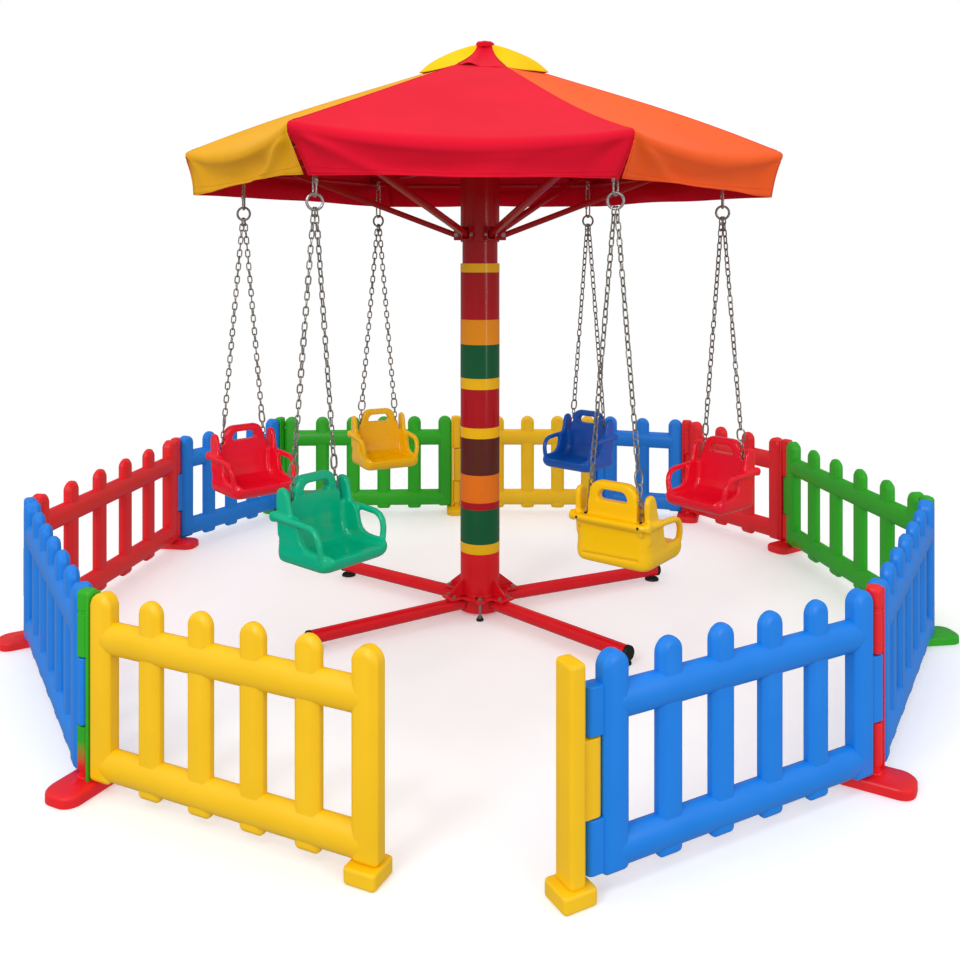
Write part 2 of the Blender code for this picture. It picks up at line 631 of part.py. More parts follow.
def post_mesh():
    # The pin is at the origin. The flange lies against the end of the panel on the -X side, and carries
    # the barrels below and above the knuckle of the next panel, and the head.
    low, middle, high, top = KNUCKLE_LEVELS
    base = FOOT_HEIGHT * 0.9
    half = POST_THICKNESS / 2
    flange = block((-PIN_CLEARANCE - POST_WIDTH, -half, base), (-PIN_CLEARANCE, half, FENCE_TOP - 0.012))
    head = cylinder(POST_HEAD_RADIUS, top, FENCE_TOP - 0.012, sides=12)
    radius = POST_HEAD_RADIUS
    head_side = block((-PIN_CLEARANCE - 0.002, -radius, top), (0, radius, FENCE_TOP - 0.013))
    tip = block((-PIN_CLEARANCE - POST_WIDTH + 0.006, -half + 0.010, FENCE_TOP - 0.02),
                (POST_HEAD_RADIUS - 0.008, half - 0.010, FENCE_TOP), bevel=0.008)
    lower = knuckle((base, middle - TOUCH), -PIN_CLEARANCE - 0.002)
    upper = knuckle((high + KNUCKLE_PLAY / 2, top + 0.002), -PIN_CLEARANCE - 0.002)
    return fused([flange, foot_mesh(), head, head_side, tip, *lower, *upper])


def end_post_mesh():
    # The free post right of the entrance: its pin is at the origin and the post on the +X side.
    wide, deep = END_POST_WIDTH / 2, END_POST_DEPTH / 2
    centre = END_POST_OFFSET
    bar = block((centre - wide, -deep, 0.04), (centre + wide, deep, FENCE_TOP - 0.012), bevel=0.010)
    tip = block((centre - wide + 0.010, -deep + 0.012, FENCE_TOP - 0.02),
                (centre + wide - 0.010, deep - 0.012, FENCE_TOP), bevel=0.008)
    reach = END_FOOT_SIZE / 2
    foot = block((centre - reach, -reach, 0), (centre + reach, reach, END_FOOT_HEIGHT), bevel=0.015)
    middle, high = KNUCKLE_LEVELS[1:3]
    barrel = cylinder(KNUCKLE_RADIUS, middle, high - KNUCKLE_PLAY / 2, sides=10)
    web = block((0, -0.012, middle + 0.001), (centre - wide + 0.005, 0.012, high - KNUCKLE_PLAY / 2 - 0.001))
    return fused([bar, tip, foot, barrel, web])


def make_fence():
    pins = [Vector((x, y, 0)) for x, y in PINS]
    low, middle, high, top = KNUCKLE_LEVELS
    half = PICKET_WIDTH / 2
    post = post_mesh()
    gates = {1: pivot("left_gate_pivot", pins[1]), 11: pivot("right_gate_pivot", pins[10])}
    for number, (count, finish) in enumerate(PANELS, start=1):
        start, end = pins[number - 1], pins[number]
        length = (end - start).length
        heading = math.degrees(math.atan2(end.y - start.y, end.x - start.x))
        extras = []
        if number == 1:
            begin = -half
            reach = END_FOOT_SIZE / 2
            outer = half + 0.007
            extras.append(block((-outer, -reach, 0), (outer, reach, END_FOOT_HEIGHT), bevel=0.012))
            extras.append(block((-half + 0.006, -0.025, END_FOOT_HEIGHT / 2), (half - 0.006, 0.025, FENCE_TOP - half),
                                bevel=0.008))
        else:
            begin = PIN_CLEARANCE
            extras += knuckle((middle, high - KNUCKLE_PLAY / 2), PIN_CLEARANCE + 0.01)
        if number == len(PANELS):
            finish_x = length - PIN_CLEARANCE
            for span in ((low, middle - TOUCH), (high + KNUCKLE_PLAY / 2, top)):
                far = Matrix.Translation((length, 0, 0)) @ turn(180)
                extras += [moved(piece, far) for piece in knuckle(span, PIN_CLEARANCE + 0.01)]
        else:
            finish_x = length - PIN_CLEARANCE - POST_WIDTH - TOUCH
        mesh = panel_mesh(count, begin, finish_x, extras)
        where = Matrix.Translation(start) @ turn(heading)
        gate = gates.get(number)
        if gate:
            where = Matrix.Translation(-gate.location) @ where
        place(f"fence_panel_{number}", mesh, finish, gate, where)

        where = Matrix.Translation(end) @ turn(heading)
        if gate:
            where = Matrix.Translation(-gate.location) @ where
        if number == len(PANELS):
            place(f"fence_post_{number}", end_post_mesh(), POST_COLOURS[number - 1], gate, where)
        else:
            place(f"fence_post_{number}", post.copy(), POST_COLOURS[number - 1], gate, where)


def shade():
    for obj in RIDE.objects:
        if obj.type == "MESH":
            obj.data.shade_smooth()
            obj.data.set_sharp_from_angle(angle=math.radians(35))


make_base()
make_mast()
head_axis = pivot("head_axis", (0, 0, 0))
make_head(head_axis)
make_seats(head_axis)
make_fence()
shade()
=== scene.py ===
# Chair swing ride with its picket fence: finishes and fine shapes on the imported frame.
# All sizes are in metres. The ride stands at the origin, and the entrance faces -Y.

import math
import random

import bmesh
import bpy
from mathutils import Matrix, Vector, noise


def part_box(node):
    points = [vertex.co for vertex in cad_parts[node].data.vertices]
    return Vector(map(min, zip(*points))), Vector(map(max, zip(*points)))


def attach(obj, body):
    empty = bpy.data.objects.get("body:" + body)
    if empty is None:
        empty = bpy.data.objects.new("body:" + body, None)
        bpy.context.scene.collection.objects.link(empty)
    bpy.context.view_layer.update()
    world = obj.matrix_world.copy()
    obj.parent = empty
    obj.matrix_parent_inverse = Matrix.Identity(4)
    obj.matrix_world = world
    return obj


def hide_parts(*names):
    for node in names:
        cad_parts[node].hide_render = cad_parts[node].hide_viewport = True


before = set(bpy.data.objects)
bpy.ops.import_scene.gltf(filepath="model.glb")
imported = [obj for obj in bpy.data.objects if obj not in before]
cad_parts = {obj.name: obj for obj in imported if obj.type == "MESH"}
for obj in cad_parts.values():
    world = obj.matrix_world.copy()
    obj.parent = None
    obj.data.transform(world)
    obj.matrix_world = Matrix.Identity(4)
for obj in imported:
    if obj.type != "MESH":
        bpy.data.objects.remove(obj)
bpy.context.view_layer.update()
quarterTurn = Matrix.Rotation(math.pi / 2, 4, "X")


# Small helpers

def hexColour(code):
    channels = [int(code[i:i + 2], 16) / 255 for i in (0, 2, 4)]
    return (*[c / 12.92 if c <= 0.04045 else ((c + 0.055) / 1.055) ** 2.4 for c in channels], 1.0)


def addNode(tree, kind, settings=None, links=None):
    node = tree.nodes.new(kind)
    for key, value in (settings or {}).items():
        if isinstance(key, int) or key in node.inputs:
            node.inputs[key].default_value = value
        else:
            setattr(node, key, value)
    for key, source in (links or {}).items():
        tree.links.new(source, node.inputs[key])
    return node


def spun(degrees):
    return Matrix.Rotation(math.radians(degrees), 4, "Z")


def shifted(x, y, z):
    return Matrix.Translation((x, y, z))


def addMesh(bm, mesh, matrix=None):
    count = len(bm.verts)
    bm.from_mesh(mesh)
    bm.verts.ensure_lookup_table()
    fresh = bm.verts[count:]
    if matrix:
        bmesh.ops.transform(bm, matrix=matrix, verts=fresh)
    return fresh


def asMesh(bm):
    mesh = bpy.data.meshes.new("shape")
    bm.to_mesh(mesh)
    bm.free()
    return mesh


def inScene(name, data):
    thing = bpy.data.objects.new(name, data)
    bpy.context.scene.collection.objects.link(thing)
    return thing


def roundedBox(low, high, edge, segments=3):
    bm = bmesh.new()
    bmesh.ops.create_cube(bm, size=1)
    size = Vector(high) - Vector(low)
    middle = (Vector(high) + Vector(low)) / 2
    bmesh.ops.transform(bm, matrix=Matrix.Translation(middle) @ Matrix.Diagonal((*size, 1)), verts=bm.verts)
    bmesh.ops.bevel(bm, geom=bm.edges, offset=edge, affect="EDGES", segments=segments, profile=0.5, material=-1)
    return asMesh(bm)


def lathe(profile, steps=48, place=(0, 0, 0)):
    # profile: radius and height pairs from the axis round to the axis
    bm = bmesh.new()
    dots = [bm.verts.new((r, 0, z)) for r, z in profile]
    lines = [bm.edges.new(pair) for pair in zip(dots, dots[1:])]
    bmesh.ops.spin(bm, geom=dots + lines, cent=(0, 0, 0), axis=(0, 0, 1), angle=2 * math.pi, steps=steps, use_merge=True)
    bmesh.ops.remove_doubles(bm, verts=bm.verts, dist=1e-6)
    bmesh.ops.recalc_face_normals(bm, faces=bm.faces)
    bmesh.ops.translate(bm, vec=place, verts=bm.verts)
    return asMesh(bm)


def sweep(points, radius, sides=12, closed=False, flatten=1.0, taper=None):
    # a round bar bent through the points; flatten squeezes it across the bend, taper gives each point its share
    points = [Vector(p) for p in points]
    count = len(points)
    tangents = []
    for i in range(count):
        before = points[i - 1] if i or closed else points[0]
        after = points[(i + 1) % count] if i < count - 1 or closed else points[-1]
        tangents.append((after - before).normalized())
    frames = []
    turn = tangents[0].to_track_quat("Z", "Y")
    for i in range(count):
        if i:
            turn = tangents[i - 1].rotation_difference(tangents[i]) @ turn
        share = taper[i] if taper else 1.0
        frames.append(Matrix.Translation(points[i]) @ turn.to_matrix().to_4x4() @ Matrix.Diagonal((share * flatten, share, 1, 1)))
    bm = bmesh.new()
    bmesh.ops.create_circle(bm, cap_ends=not closed, segments=sides, radius=radius, matrix=frames[0])
    first = list(bm.edges)
    ring = first
    for before, after in zip(frames, frames[1:]):
        grown = bmesh.ops.extrude_edge_only(bm, edges=ring)["geom"]
        verts = {g for g in grown if isinstance(g, bmesh.types.BMVert)}
        ring = [g for g in grown if isinstance(g, bmesh.types.BMEdge) and set(g.verts) <= verts]
        bmesh.ops.transform(bm, matrix=after @ before.inverted(), verts=list(verts))
    if closed:
        bmesh.ops.bridge_loops(bm, edges=first + ring)
    else:
        bmesh.ops.contextual_create(bm, geom=ring)
    bmesh.ops.recalc_face_normals(bm, faces=bm.faces)
    return asMesh(bm)


def prism(outline, thickness, edge=0.0, segments=3):
    # an outline in XZ, given thickness along Y about the middle, with its long edges rounded
    bm = bmesh.new()
    face = bm.faces.new([bm.verts.new((x, -thickness / 2, z)) for x, z in outline])
    grown = bmesh.ops.extrude_face_region(bm, geom=[face])["geom"]
    bmesh.ops.translate(bm, vec=(0, thickness, 0), verts=[g for g in grown if isinstance(g, bmesh.types.BMVert)])
    bmesh.ops.recalc_face_normals(bm, faces=bm.faces)
    if edge:
        rims = [e for e in bm.edges if abs(e.verts[0].co.y - e.verts[1].co.y) < 1e-6]
        bmesh.ops.bevel(bm, geom=rims, offset=edge, affect="EDGES", segments=segments, profile=0.5, material=-1)
    return asMesh(bm)


def stacked(outlines):
    # a closed skin through outlines that have the same number of points, one above the other
    bm = bmesh.new()
    top = bm.faces.new([bm.verts.new(spot) for spot in outlines[0]])
    for outline in outlines[1:]:
        grown = bmesh.ops.extrude_face_region(bm, geom=[top])["geom"]
        top = next(g for g in grown if isinstance(g, bmesh.types.BMFace))
        for vert, spot in zip(top.verts, outline):
            vert.co = spot
    bmesh.ops.recalc_face_normals(bm, faces=bm.faces)
    return asMesh(bm)


def roundedOutline(low, high, corner, height, steps=5):
    # a rectangle in XY with rounded corners
    r = max(0.0004, corner)
    spots = []
    corners = ((high[0] - r, high[1] - r), (low[0] + r, high[1] - r), (low[0] + r, low[1] + r), (high[0] - r, low[1] + r))
    for index, (x, y) in enumerate(corners):
        for k in range(steps + 1):
            a = math.pi / 2 * (index + k / steps)
            spots.append((x + r * math.cos(a), y + r * math.sin(a), height))
    return spots


def pillow(low, high, corner, edge, steps=3):
    # a block whose upright corners, and whose top and bottom edges, are rounded by their own amounts
    outlines = []
    for k in range(2 * steps + 2):
        a = math.pi / 2 * (k if k <= steps else 2 * steps + 1 - k) / steps
        inset, lift = edge * (1 - math.sin(a)), edge * (1 - math.cos(a))
        height = low[2] + lift if k <= steps else high[2] - lift
        outlines.append(roundedOutline((low[0] + inset, low[1] + inset), (high[0] - inset, high[1] - inset), corner - inset, height))
    return stacked(outlines)


def blended(shapes, cuts, voxel, rounds):
    # one moulded skin over shapes that overlap, less the cuts, with soft inner corners
    bm = bmesh.new()
    for shape in shapes:
        addMesh(bm, shape)
    body = inScene("body", asMesh(bm))
    knives = [inScene("knife", shape) for shape in cuts]
    for knife in (None, *knives, None):  # one skin, then the cuts, then one skin again
        step = body.modifiers.new("step", "BOOLEAN" if knife else "REMESH")
        if knife:
            step.operation = "DIFFERENCE"
            step.object = knife
        else:
            step.mode = "VOXEL"
            step.voxel_size = voxel
    soft = body.modifiers.new("soft", "SMOOTH")
    soft.factor = 0.5
    soft.iterations = rounds
    bpy.context.view_layer.update()
    mesh = bpy.data.meshes.new_from_object(body.evaluated_get(bpy.context.evaluated_depsgraph_get()))
    for helper in [body, *knives]:
        bpy.data.objects.remove(helper)
    return mesh


def finishPiece(name, source, materials, body, stands=(), sharp=40, matrix=None):
    mesh = source if isinstance(source, bpy.types.Mesh) else asMesh(source)
    if matrix:
        mesh.transform(matrix)
    mesh.name = name
    piece = inScene(name, mesh)
    for material in materials if isinstance(materials, (list, tuple)) else [materials]:
        mesh.materials.append(material)
    mesh.shade_smooth()
    if sharp:
        mesh.set_sharp_from_angle(angle=math.radians(sharp))
    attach(piece, body)
    if stands:
        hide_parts(*stands)
    return piece


def paintFaces(bm, verts, index):
    # gives the faces between these vertices a material slot
    chosen = set(verts)
    for face in bm.faces:
        if set(face.verts) <= chosen:
            face.material_index = index


# Finishes

def newMaterial(name):
    material = bpy.data.materials.new(name)
    material.use_nodes = True
    return material, material.node_tree, material.node_tree.nodes["Principled BSDF"]


def setShader(tree, shader, links, values):
    for key, source in links.items():
        tree.links.new(source, shader.inputs[key])
    for key, value in values.items():
        shader.inputs[key].default_value = value


def noiseShare(tree, place, scale, detail):
    return addNode(tree, "ShaderNodeTexNoise", {"Scale": scale, "Detail": detail}, {"Vector": place.outputs["Object"]}).outputs["Fac"]


def twoTone(tree, code, share, dark, pale):
    # a colour that wanders between a darker and a paler tone of itself
    colour = hexColour(code)[:3]
    tone = addNode(tree, "ShaderNodeMix", {"data_type": "RGBA"}, {0: share})
    tone.inputs[6].default_value = (*[c * dark for c in colour], 1)
    tone.inputs[7].default_value = (*[min(1, c * pale) for c in colour], 1)
    return tone


def wanderingShine(tree, share, low, high):
    span = {"From Min": 0.3, "From Max": 0.7, "To Min": low, "To Max": high}
    return addNode(tree, "ShaderNodeMapRange", span, {"Value": share}).outputs["Result"]


def mouldedPlastic(name, code, rough=0.36, grainDepth=0.04, fade=None):
    # blow-moulded polyethylene: a satin skin whose tone and shine wander in broad clouds, with a faint mould grain
    # of about 4 mm; one post fades into a second colour
    material, tree, shader = newMaterial(name)
    place = addNode(tree, "ShaderNodeTexCoord")
    clouds, grain = noiseShare(tree, place, 6.0, 3.0), noiseShare(tree, place, 240.0, 2.0)
    tone = twoTone(tree, code, clouds, 0.93, 1.08)
    bump = addNode(tree, "ShaderNodeBump", {"Strength": grainDepth, "Distance": 0.001}, {"Height": grain})
    if fade:
        split = addNode(tree, "ShaderNodeSeparateXYZ", None, {0: place.outputs["Object"]})
        blend = addNode(tree, "ShaderNodeMapRange", {"From Min": fade[1], "From Max": fade[2]}, {"Value": split.outputs["Z"]})
        tone = addNode(tree, "ShaderNodeMix", {"data_type": "RGBA"}, {0: blend.outputs["Result"], 7: tone.outputs[2]})
        tone.inputs[6].default_value = hexColour(fade[0])
    shine = wanderingShine(tree, clouds, rough - 0.04, rough + 0.06)
    setShader(tree, shader, {"Base Color": tone.outputs[2], "Roughness": shine, "Normal": bump.outputs["Normal"]}, {"IOR": 1.5})
    return material


def sprayedPaint(name, code, rough=0.22):
    # gloss stoving paint on steel tube: even colour, a slight orange peel of about 5 mm, and a clear shine
    material, tree, shader = newMaterial(name)
    place = addNode(tree, "ShaderNodeTexCoord")
    peel, wear = noiseShare(tree, place, 200.0, 1.0), noiseShare(tree, place, 7.0, 2.0)
    tone = twoTone(tree, code, wear, 0.93, 1.05)
    bump = addNode(tree, "ShaderNodeBump", {"Strength": 0.04, "Distance": 0.001}, {"Height": peel})
    shine = wanderingShine(tree, wear, rough - 0.04, rough + 0.04)
    setShader(tree, shader, {"Base Color": tone.outputs[2], "Roughness": shine, "Normal": bump.outputs["Normal"]},
              {"IOR": 1.5, "Specular IOR Level": 0.4})
    return material


def chainSteel(name, code, rough=0.34):
    # galvanised steel: dull grey metal with darker and paler patches of about 10 mm
    material, tree, shader = newMaterial(name)
    patches = noiseShare(tree, addNode(tree, "ShaderNodeTexCoord"), 90.0, 3.0)
    tone = twoTone(tree, code, patches, 0.6, 1.4)
    dull = addNode(tree, "ShaderNodeMapRange", {"To Min": rough - 0.1, "To Max": rough + 0.14}, {"Value": patches})
    # not fully metallic, because the zinc has a dull white bloom
    setShader(tree, shader, {"Base Color": tone.outputs[2], "Roughness": dull.outputs["Result"]}, {"Metallic": 0.8})
    return material


def awningCloth(name, code, backShade=0.36):
    # coated polyester awning cloth: matt, with a plain weave. The real threads are 0.4 mm apart, which is too fine
    # for the picture, so the weave is drawn 5 mm apart. The back of the cloth is painted darker: painted shade for the
    # underside of the canopy.
    material, tree, shader = newMaterial(name)
    place = addNode(tree, "ShaderNodeUVMap", {"uv_map": "cloth"})
    warp, weft = [addNode(tree, "ShaderNodeTexWave", {"bands_direction": way, "Scale": 62.0, "Distortion": 0.4},
                          {"Vector": place.outputs["UV"]}).outputs["Fac"] for way in ("X", "Y")]
    weave = addNode(tree, "ShaderNodeMath", {"operation": "MULTIPLY"}, {0: warp, 1: weft})
    tone = twoTone(tree, code, noiseShare(tree, addNode(tree, "ShaderNodeTexCoord"), 3.0, 4.0), 0.86, 1.1)
    side = addNode(tree, "ShaderNodeNewGeometry")
    back = addNode(tree, "ShaderNodeMix", {"data_type": "RGBA"}, {0: side.outputs["Backfacing"], 6: tone.outputs[2]})
    # painted shade: the back faces take a darker copy of the colour
    back.inputs[7].default_value = (*[c * backShade for c in hexColour(code)[:3]], 1)
    bump = addNode(tree, "ShaderNodeBump", {"Strength": 0.25, "Distance": 0.0006}, {"Height": weave.outputs["Value"]})
    setShader(tree, shader, {"Base Color": back.outputs[2], "Normal": bump.outputs["Normal"]},
              {"Roughness": 0.8, "Specular IOR Level": 0.1, "Sheen Weight": 0.03, "Sheen Roughness": 0.4})
    return material


fencePlastic = {
    "yellow": mouldedPlastic("polyethyleneYellow", "F6C202"),
    "blue": mouldedPlastic("polyethyleneBlue", "067FE4"),
    "red": mouldedPlastic("polyethyleneRed", "EC1620"),
    "green": mouldedPlastic("polyethyleneGreen", "28AE18"),
}
fadedPlastic = mouldedPlastic("polyethyleneGreenToRed", "24A416", fade=("D8141E", 0.075, 0.150))
seatPlastic = {
    "red": mouldedPlastic("seatRed", "F0102C", rough=0.17, grainDepth=0.002),
    "blue": mouldedPlastic("seatBlue", "0E5CBE", rough=0.17, grainDepth=0.002),
    "yellow": mouldedPlastic("seatYellow", "FCC000", rough=0.17, grainDepth=0.002),
    "green": mouldedPlastic("seatGreen", "00B082", rough=0.17, grainDepth=0.002),
}
redPaint = sprayedPaint("stovingPaintRed", "AE0A16")
legPaint = sprayedPaint("stovingPaintBrightRed", "E0121E")
bandPaint = {
    "red": redPaint,
    "amber": sprayedPaint("bandAmber", "EB920A"),
    "green": sprayedPaint("bandGreen", "0E5A33"),
    "yellow": sprayedPaint("bandYellow", "F2B900"),
    "maroon": sprayedPaint("bandMaroon", "5A2418"),
    "orange": sprayedPaint("bandOrange", "E87412"),
    # the brighter leg red also paints the mast's lowest stretch: painted light from the floor
    "floorLitRed": legPaint,
}
galvanised = chainSteel("galvanisedSteel", "A8A49C")
brightSteel = chainSteel("zincPlatedSteel", "C6C6C2", rough=0.24)
darkBolt = chainSteel("blackenedSteel", "3A3836", rough=0.4)
rubber = mouldedPlastic("blackRubber", "161616", rough=0.6)
clothFinish = {
    "yellow": awningCloth("awningYellow", "E6A60E"),
    "red": awningCloth("awningRed", "E0122F"),
    "orange": awningCloth("awningOrange", "FF6022"),
    "lemon": awningCloth("awningLemon", "F6C802"),
}
print("finishes ready")


# Camera, floor and light

studio = {
    "eye": (0, -4.36, 1.6), "lens": 35.96, "shift": -0.2323,
    "floor": "FAF9FA", "lit": 0.19, "world": 1.05, "below": 0.5, "mirrored": 0.25, "whiteFrom": 2.3, "whiteAt": 3.6,
    # name, place, aim, width and power
    "lamps": (("keyLight", (-9.0, -16.0, 8.4), (0, 0, 0.9), 5.2, 640), ("fillLight", (10.0, -14.0, 5.8), (0, 0, 1.0), 6.0, 160),
              ("topLight", (-1.0, 0.8, 6.5), (0, 0, 0), 3.0, 18), ("glintLight", (-2.4, -4.4, 4.6), (0, 0, 0.8), 0.7, 30),
              ("stripLight", (5.0, -6.4, 1.7), (0, 0, 1.2), 0.45, 36)),
}


def makeStudio():
    lens = bpy.data.cameras.new("camera")
    lens.lens = studio["lens"]
    lens.sensor_width = 36
    lens.shift_y = studio["shift"]
    camera = inScene("camera", lens)
    camera.location = studio["eye"]
    camera.rotation_euler = (math.pi / 2, 0, 0)
    bpy.context.scene.camera = camera

    bm = bmesh.new()
    bmesh.ops.create_grid(bm, x_segments=1, y_segments=1, size=40)
    floor = inScene("studioFloor", asMesh(bm))
    floor.location.z = -0.0005
    paper, tree, shader = newMaterial("studioPaper")
    # the paper is lit from below, as on a light table
    setShader(tree, shader, {}, {"Base Color": hexColour(studio["floor"]), "Roughness": 0.5, "Emission Color": (1, 1, 1, 1),
                                 "Emission Strength": studio["lit"]})
    # the paper runs out into the white of the studio, so that no horizon shows
    place = addNode(tree, "ShaderNodeTexCoord")
    away = addNode(tree, "ShaderNodeVectorMath", {"operation": "LENGTH"}, {0: place.outputs["Object"]})
    share = addNode(tree, "ShaderNodeMapRange",
                    {"From Min": studio["whiteFrom"], "From Max": studio["whiteAt"], "interpolation_type": "SMOOTHSTEP"},
                    {"Value": away.outputs["Value"]})
    glow = addNode(tree, "ShaderNodeEmission")
    mix = addNode(tree, "ShaderNodeMixShader", None, {0: share.outputs["Result"], 1: shader.outputs["BSDF"], 2: glow.outputs["Emission"]})
    tree.links.new(mix.outputs["Shader"], tree.nodes["Material Output"].inputs["Surface"])
    floor.data.materials.append(paper)
    # the paper doesn't veil the colours with its own light: what faces down sees the dim lower half of the studio
    floor.visible_glossy = False
    floor.visible_diffuse = False

    world = bpy.data.worlds.new("studioWorld")
    world.use_nodes = True
    # the walls look white, light the ride softly, and stay dim in the gloss of the paint
    tree = world.node_tree
    rays = addNode(tree, "ShaderNodeLightPath")
    toward = addNode(tree, "ShaderNodeSeparateXYZ", None, {0: addNode(tree, "ShaderNodeTexCoord").outputs["Generated"]})
    level = addNode(tree, "ShaderNodeMapRange", {"From Min": -0.2, "From Max": 0.3, "To Min": studio["below"], "To Max": studio["world"]},
                    {"Value": toward.outputs["Z"]})
    dim = addNode(tree, "ShaderNodeMix", {3: studio["mirrored"]}, {0: rays.outputs["Is Glossy Ray"], 2: level.outputs["Result"]})
    strength = addNode(tree, "ShaderNodeMix", {3: 1.0}, {0: rays.outputs["Is Camera Ray"], 2: dim.outputs[0]})
    tree.nodes["Background"].inputs["Color"].default_value = (1, 1, 1, 1)
    tree.links.new(strength.outputs[0], tree.nodes["Background"].inputs["Strength"])
    bpy.context.scene.world = world
    # plain display transform, so that the white paper stays white
    bpy.context.scene.view_settings.view_transform = "Standard"

    for name, spot, aim, size, power in studio["lamps"]:
        lamp = bpy.data.lights.new(name, "AREA")
        lamp.size = size
        if name == "stripLight":  # tall and narrow, so that it draws a streak down the mast
            lamp.shape = "RECTANGLE"
            lamp.size_y = 3.4
        lamp.energy = power
        holder = inScene(name, lamp)
        holder.location = spot
        holder.rotation_euler = (Vector(aim) - Vector(spot)).to_track_quat("-Z", "Y").to_euler()


makeStudio()
print("studio ready")


# Base and mast

stand = {
    "legs": ((25, 0.975), (145, 0.84), (213, 0.84), (314, 0.845)), "legRadius": 0.0285, "legHeight": 0.048,
    "capRadius": 0.0303, "capLength": 0.016, "padInset": 0.035, "padRadius": 0.034, "padHeight": 0.012,
    "hubRadius": 0.095, "plateBottom": 0.0768, "plateTop": 0.0868, "plateRadius": 0.125, "tabReach": 0.178,
    "tabWidth": 0.074, "lobeReach": 0.158, "lobeWidth": 0.046, "screwPlace": 0.138,
    "gussetReach": 0.165, "gussetRise": 0.062, "boltPlace": 0.152, "boltSpread": 0.024,
}


def hexBolt(size, height):
    # washer, bolt head and the end of the thread: sides, both radii, depth and height of the middle
    bm = bmesh.new()
    for sides, low, high, depth, middle in ((20, 1.25, 1.25, 0.25, 0.125), (6, 1, 1, 1, 0.5), (16, 0.5, 0.42, 0.4, 1.1)):
        bmesh.ops.create_cone(bm, cap_ends=True, segments=sides, radius1=size * low, radius2=size * high, depth=height * depth,
                              matrix=shifted(0, 0, height * middle))
    return asMesh(bm)


def makeBase():
    s = stand
    for number, (angle, reach) in enumerate(s["legs"], start=1):
        bm = bmesh.new()
        start, r = s["hubRadius"] + 0.0003, s["legRadius"]
        tubeEnd = reach - s["capLength"]
        addMesh(bm, lathe([(0, start), (r, start), (r, tubeEnd), (0, tubeEnd)], 40))
        c = s["capRadius"]
        cap = addMesh(bm, lathe([(0, tubeEnd), (c, tubeEnd), (c, reach - 0.003), (c - 0.003, reach + 0.001), (0, reach + 0.003)], 40))
        bmesh.ops.transform(bm, matrix=shifted(0, 0, s["legHeight"]) @ Matrix.Rotation(math.pi / 2, 4, "Y"), verts=bm.verts)
        # weld bead where the tube meets the hub
        seam = [(start + 0.003, r * math.cos(a), s["legHeight"] + r * math.sin(a)) for a in (math.pi * k / 12 for k in range(24))]
        addMesh(bm, sweep(seam, 0.0026, 6, closed=True))
        p = reach - s["padInset"]
        pad = addMesh(bm, lathe([(0, 0), (s["padRadius"], 0), (s["padRadius"], 0.006), (s["padRadius"] - 0.005, s["padHeight"]),
                                 (0.012, s["padHeight"]), (0.009, 0.018), (0, 0.018)], 28, (p, 0, 0)))
        stem = addMesh(bm, lathe([(0, 0.017), (0.007, 0.017), (0.007, 0.026), (0, 0.026)], 16, (p, 0, 0)))
        paintFaces(bm, cap, 1)
        paintFaces(bm, pad, 1)
        paintFaces(bm, stem, 2)
        finishPiece(f"legTube{number}", bm, [legPaint, rubber, brightSteel], "stand", [f"leg_{number}"],
                    matrix=spun(angle))

    bm = bmesh.new()
    low, high = s["plateBottom"], s["plateTop"]
    plate = lathe([(0, low), (s["plateRadius"], low), (s["plateRadius"], high - 0.0015), (s["plateRadius"] - 0.0015, high), (0, high)], 64)
    addMesh(bm, plate)
    for angle, _ in s["legs"]:
        w = s["tabWidth"] / 2
        tab = roundedBox((0.04, -w, low), (s["tabReach"], w, high), 0.0015, 2)
        addMesh(bm, tab, spun(angle))
        gusset = prism([(0.0889, high - 0.002), (s["gussetReach"], high - 0.002), (s["gussetReach"], high + 0.010),
                        (0.100, high + s["gussetRise"]), (0.0889, high + s["gussetRise"])], 0.008, 0.001, 1)
        addMesh(bm, gusset, spun(angle))
        # weld beads along the foot of the gusset
        for side in (-1, 1):
            bead = sweep([(0.090 + 0.0074 * k, side * 0.0045, high + 0.0008 * (k % 2)) for k in range(11)], 0.0032, 8)
            addMesh(bm, bead, spun(angle))
    for angle in (90, 270):
        w = s["lobeWidth"] / 2
        addMesh(bm, roundedBox((0.04, -w, low), (s["lobeReach"], w, high), 0.0015, 2), spun(angle))
    addMesh(bm, lathe([(0, 0.011), (s["hubRadius"], 0.011), (s["hubRadius"], low + 0.001), (0, low + 0.001)], 64))
    ring = [(0.0905 * math.cos(a), 0.0905 * math.sin(a), high + 0.001) for a in (math.pi * k / 24 for k in range(48))]
    addMesh(bm, sweep(ring, 0.0035, 8, closed=True))
    steel, black = [], []
    for angle, _ in s["legs"]:
        for side in (-1, 1):
            steel += addMesh(bm, hexBolt(0.0085, 0.007), spun(angle) @ shifted(s["boltPlace"], side * s["boltSpread"], high))
    for angle in (90, 270):
        spot = spun(angle) @ shifted(s["screwPlace"], 0, 0)
        thread = [(0, 0.010), (0.0058, 0.010), (0.0058, high + 0.012), (0.0045, high + 0.0135), (0, high + 0.0135)]
        steel += addMesh(bm, lathe(thread, 16), spot)
        steel += addMesh(bm, hexBolt(0.011, 0.008), spot @ shifted(0, 0, high))
        steel += addMesh(bm, hexBolt(0.010, 0.006), spot @ shifted(0, 0, 0.013))
        black += addMesh(bm, lathe([(0, 0), (0.016, 0), (0.016, 0.007), (0.012, 0.012), (0, 0.012)], 20), spot)
    black += addMesh(bm, lathe([(0, 0), (0.045, 0), (0.045, 0.008), (0.040, 0.012), (0, 0.012)], 32))
    paintFaces(bm, steel, 1)
    paintFaces(bm, black, 2)
    finishPiece("hubPlate", bm, [legPaint, galvanised, rubber], "stand", ["base_hub"])


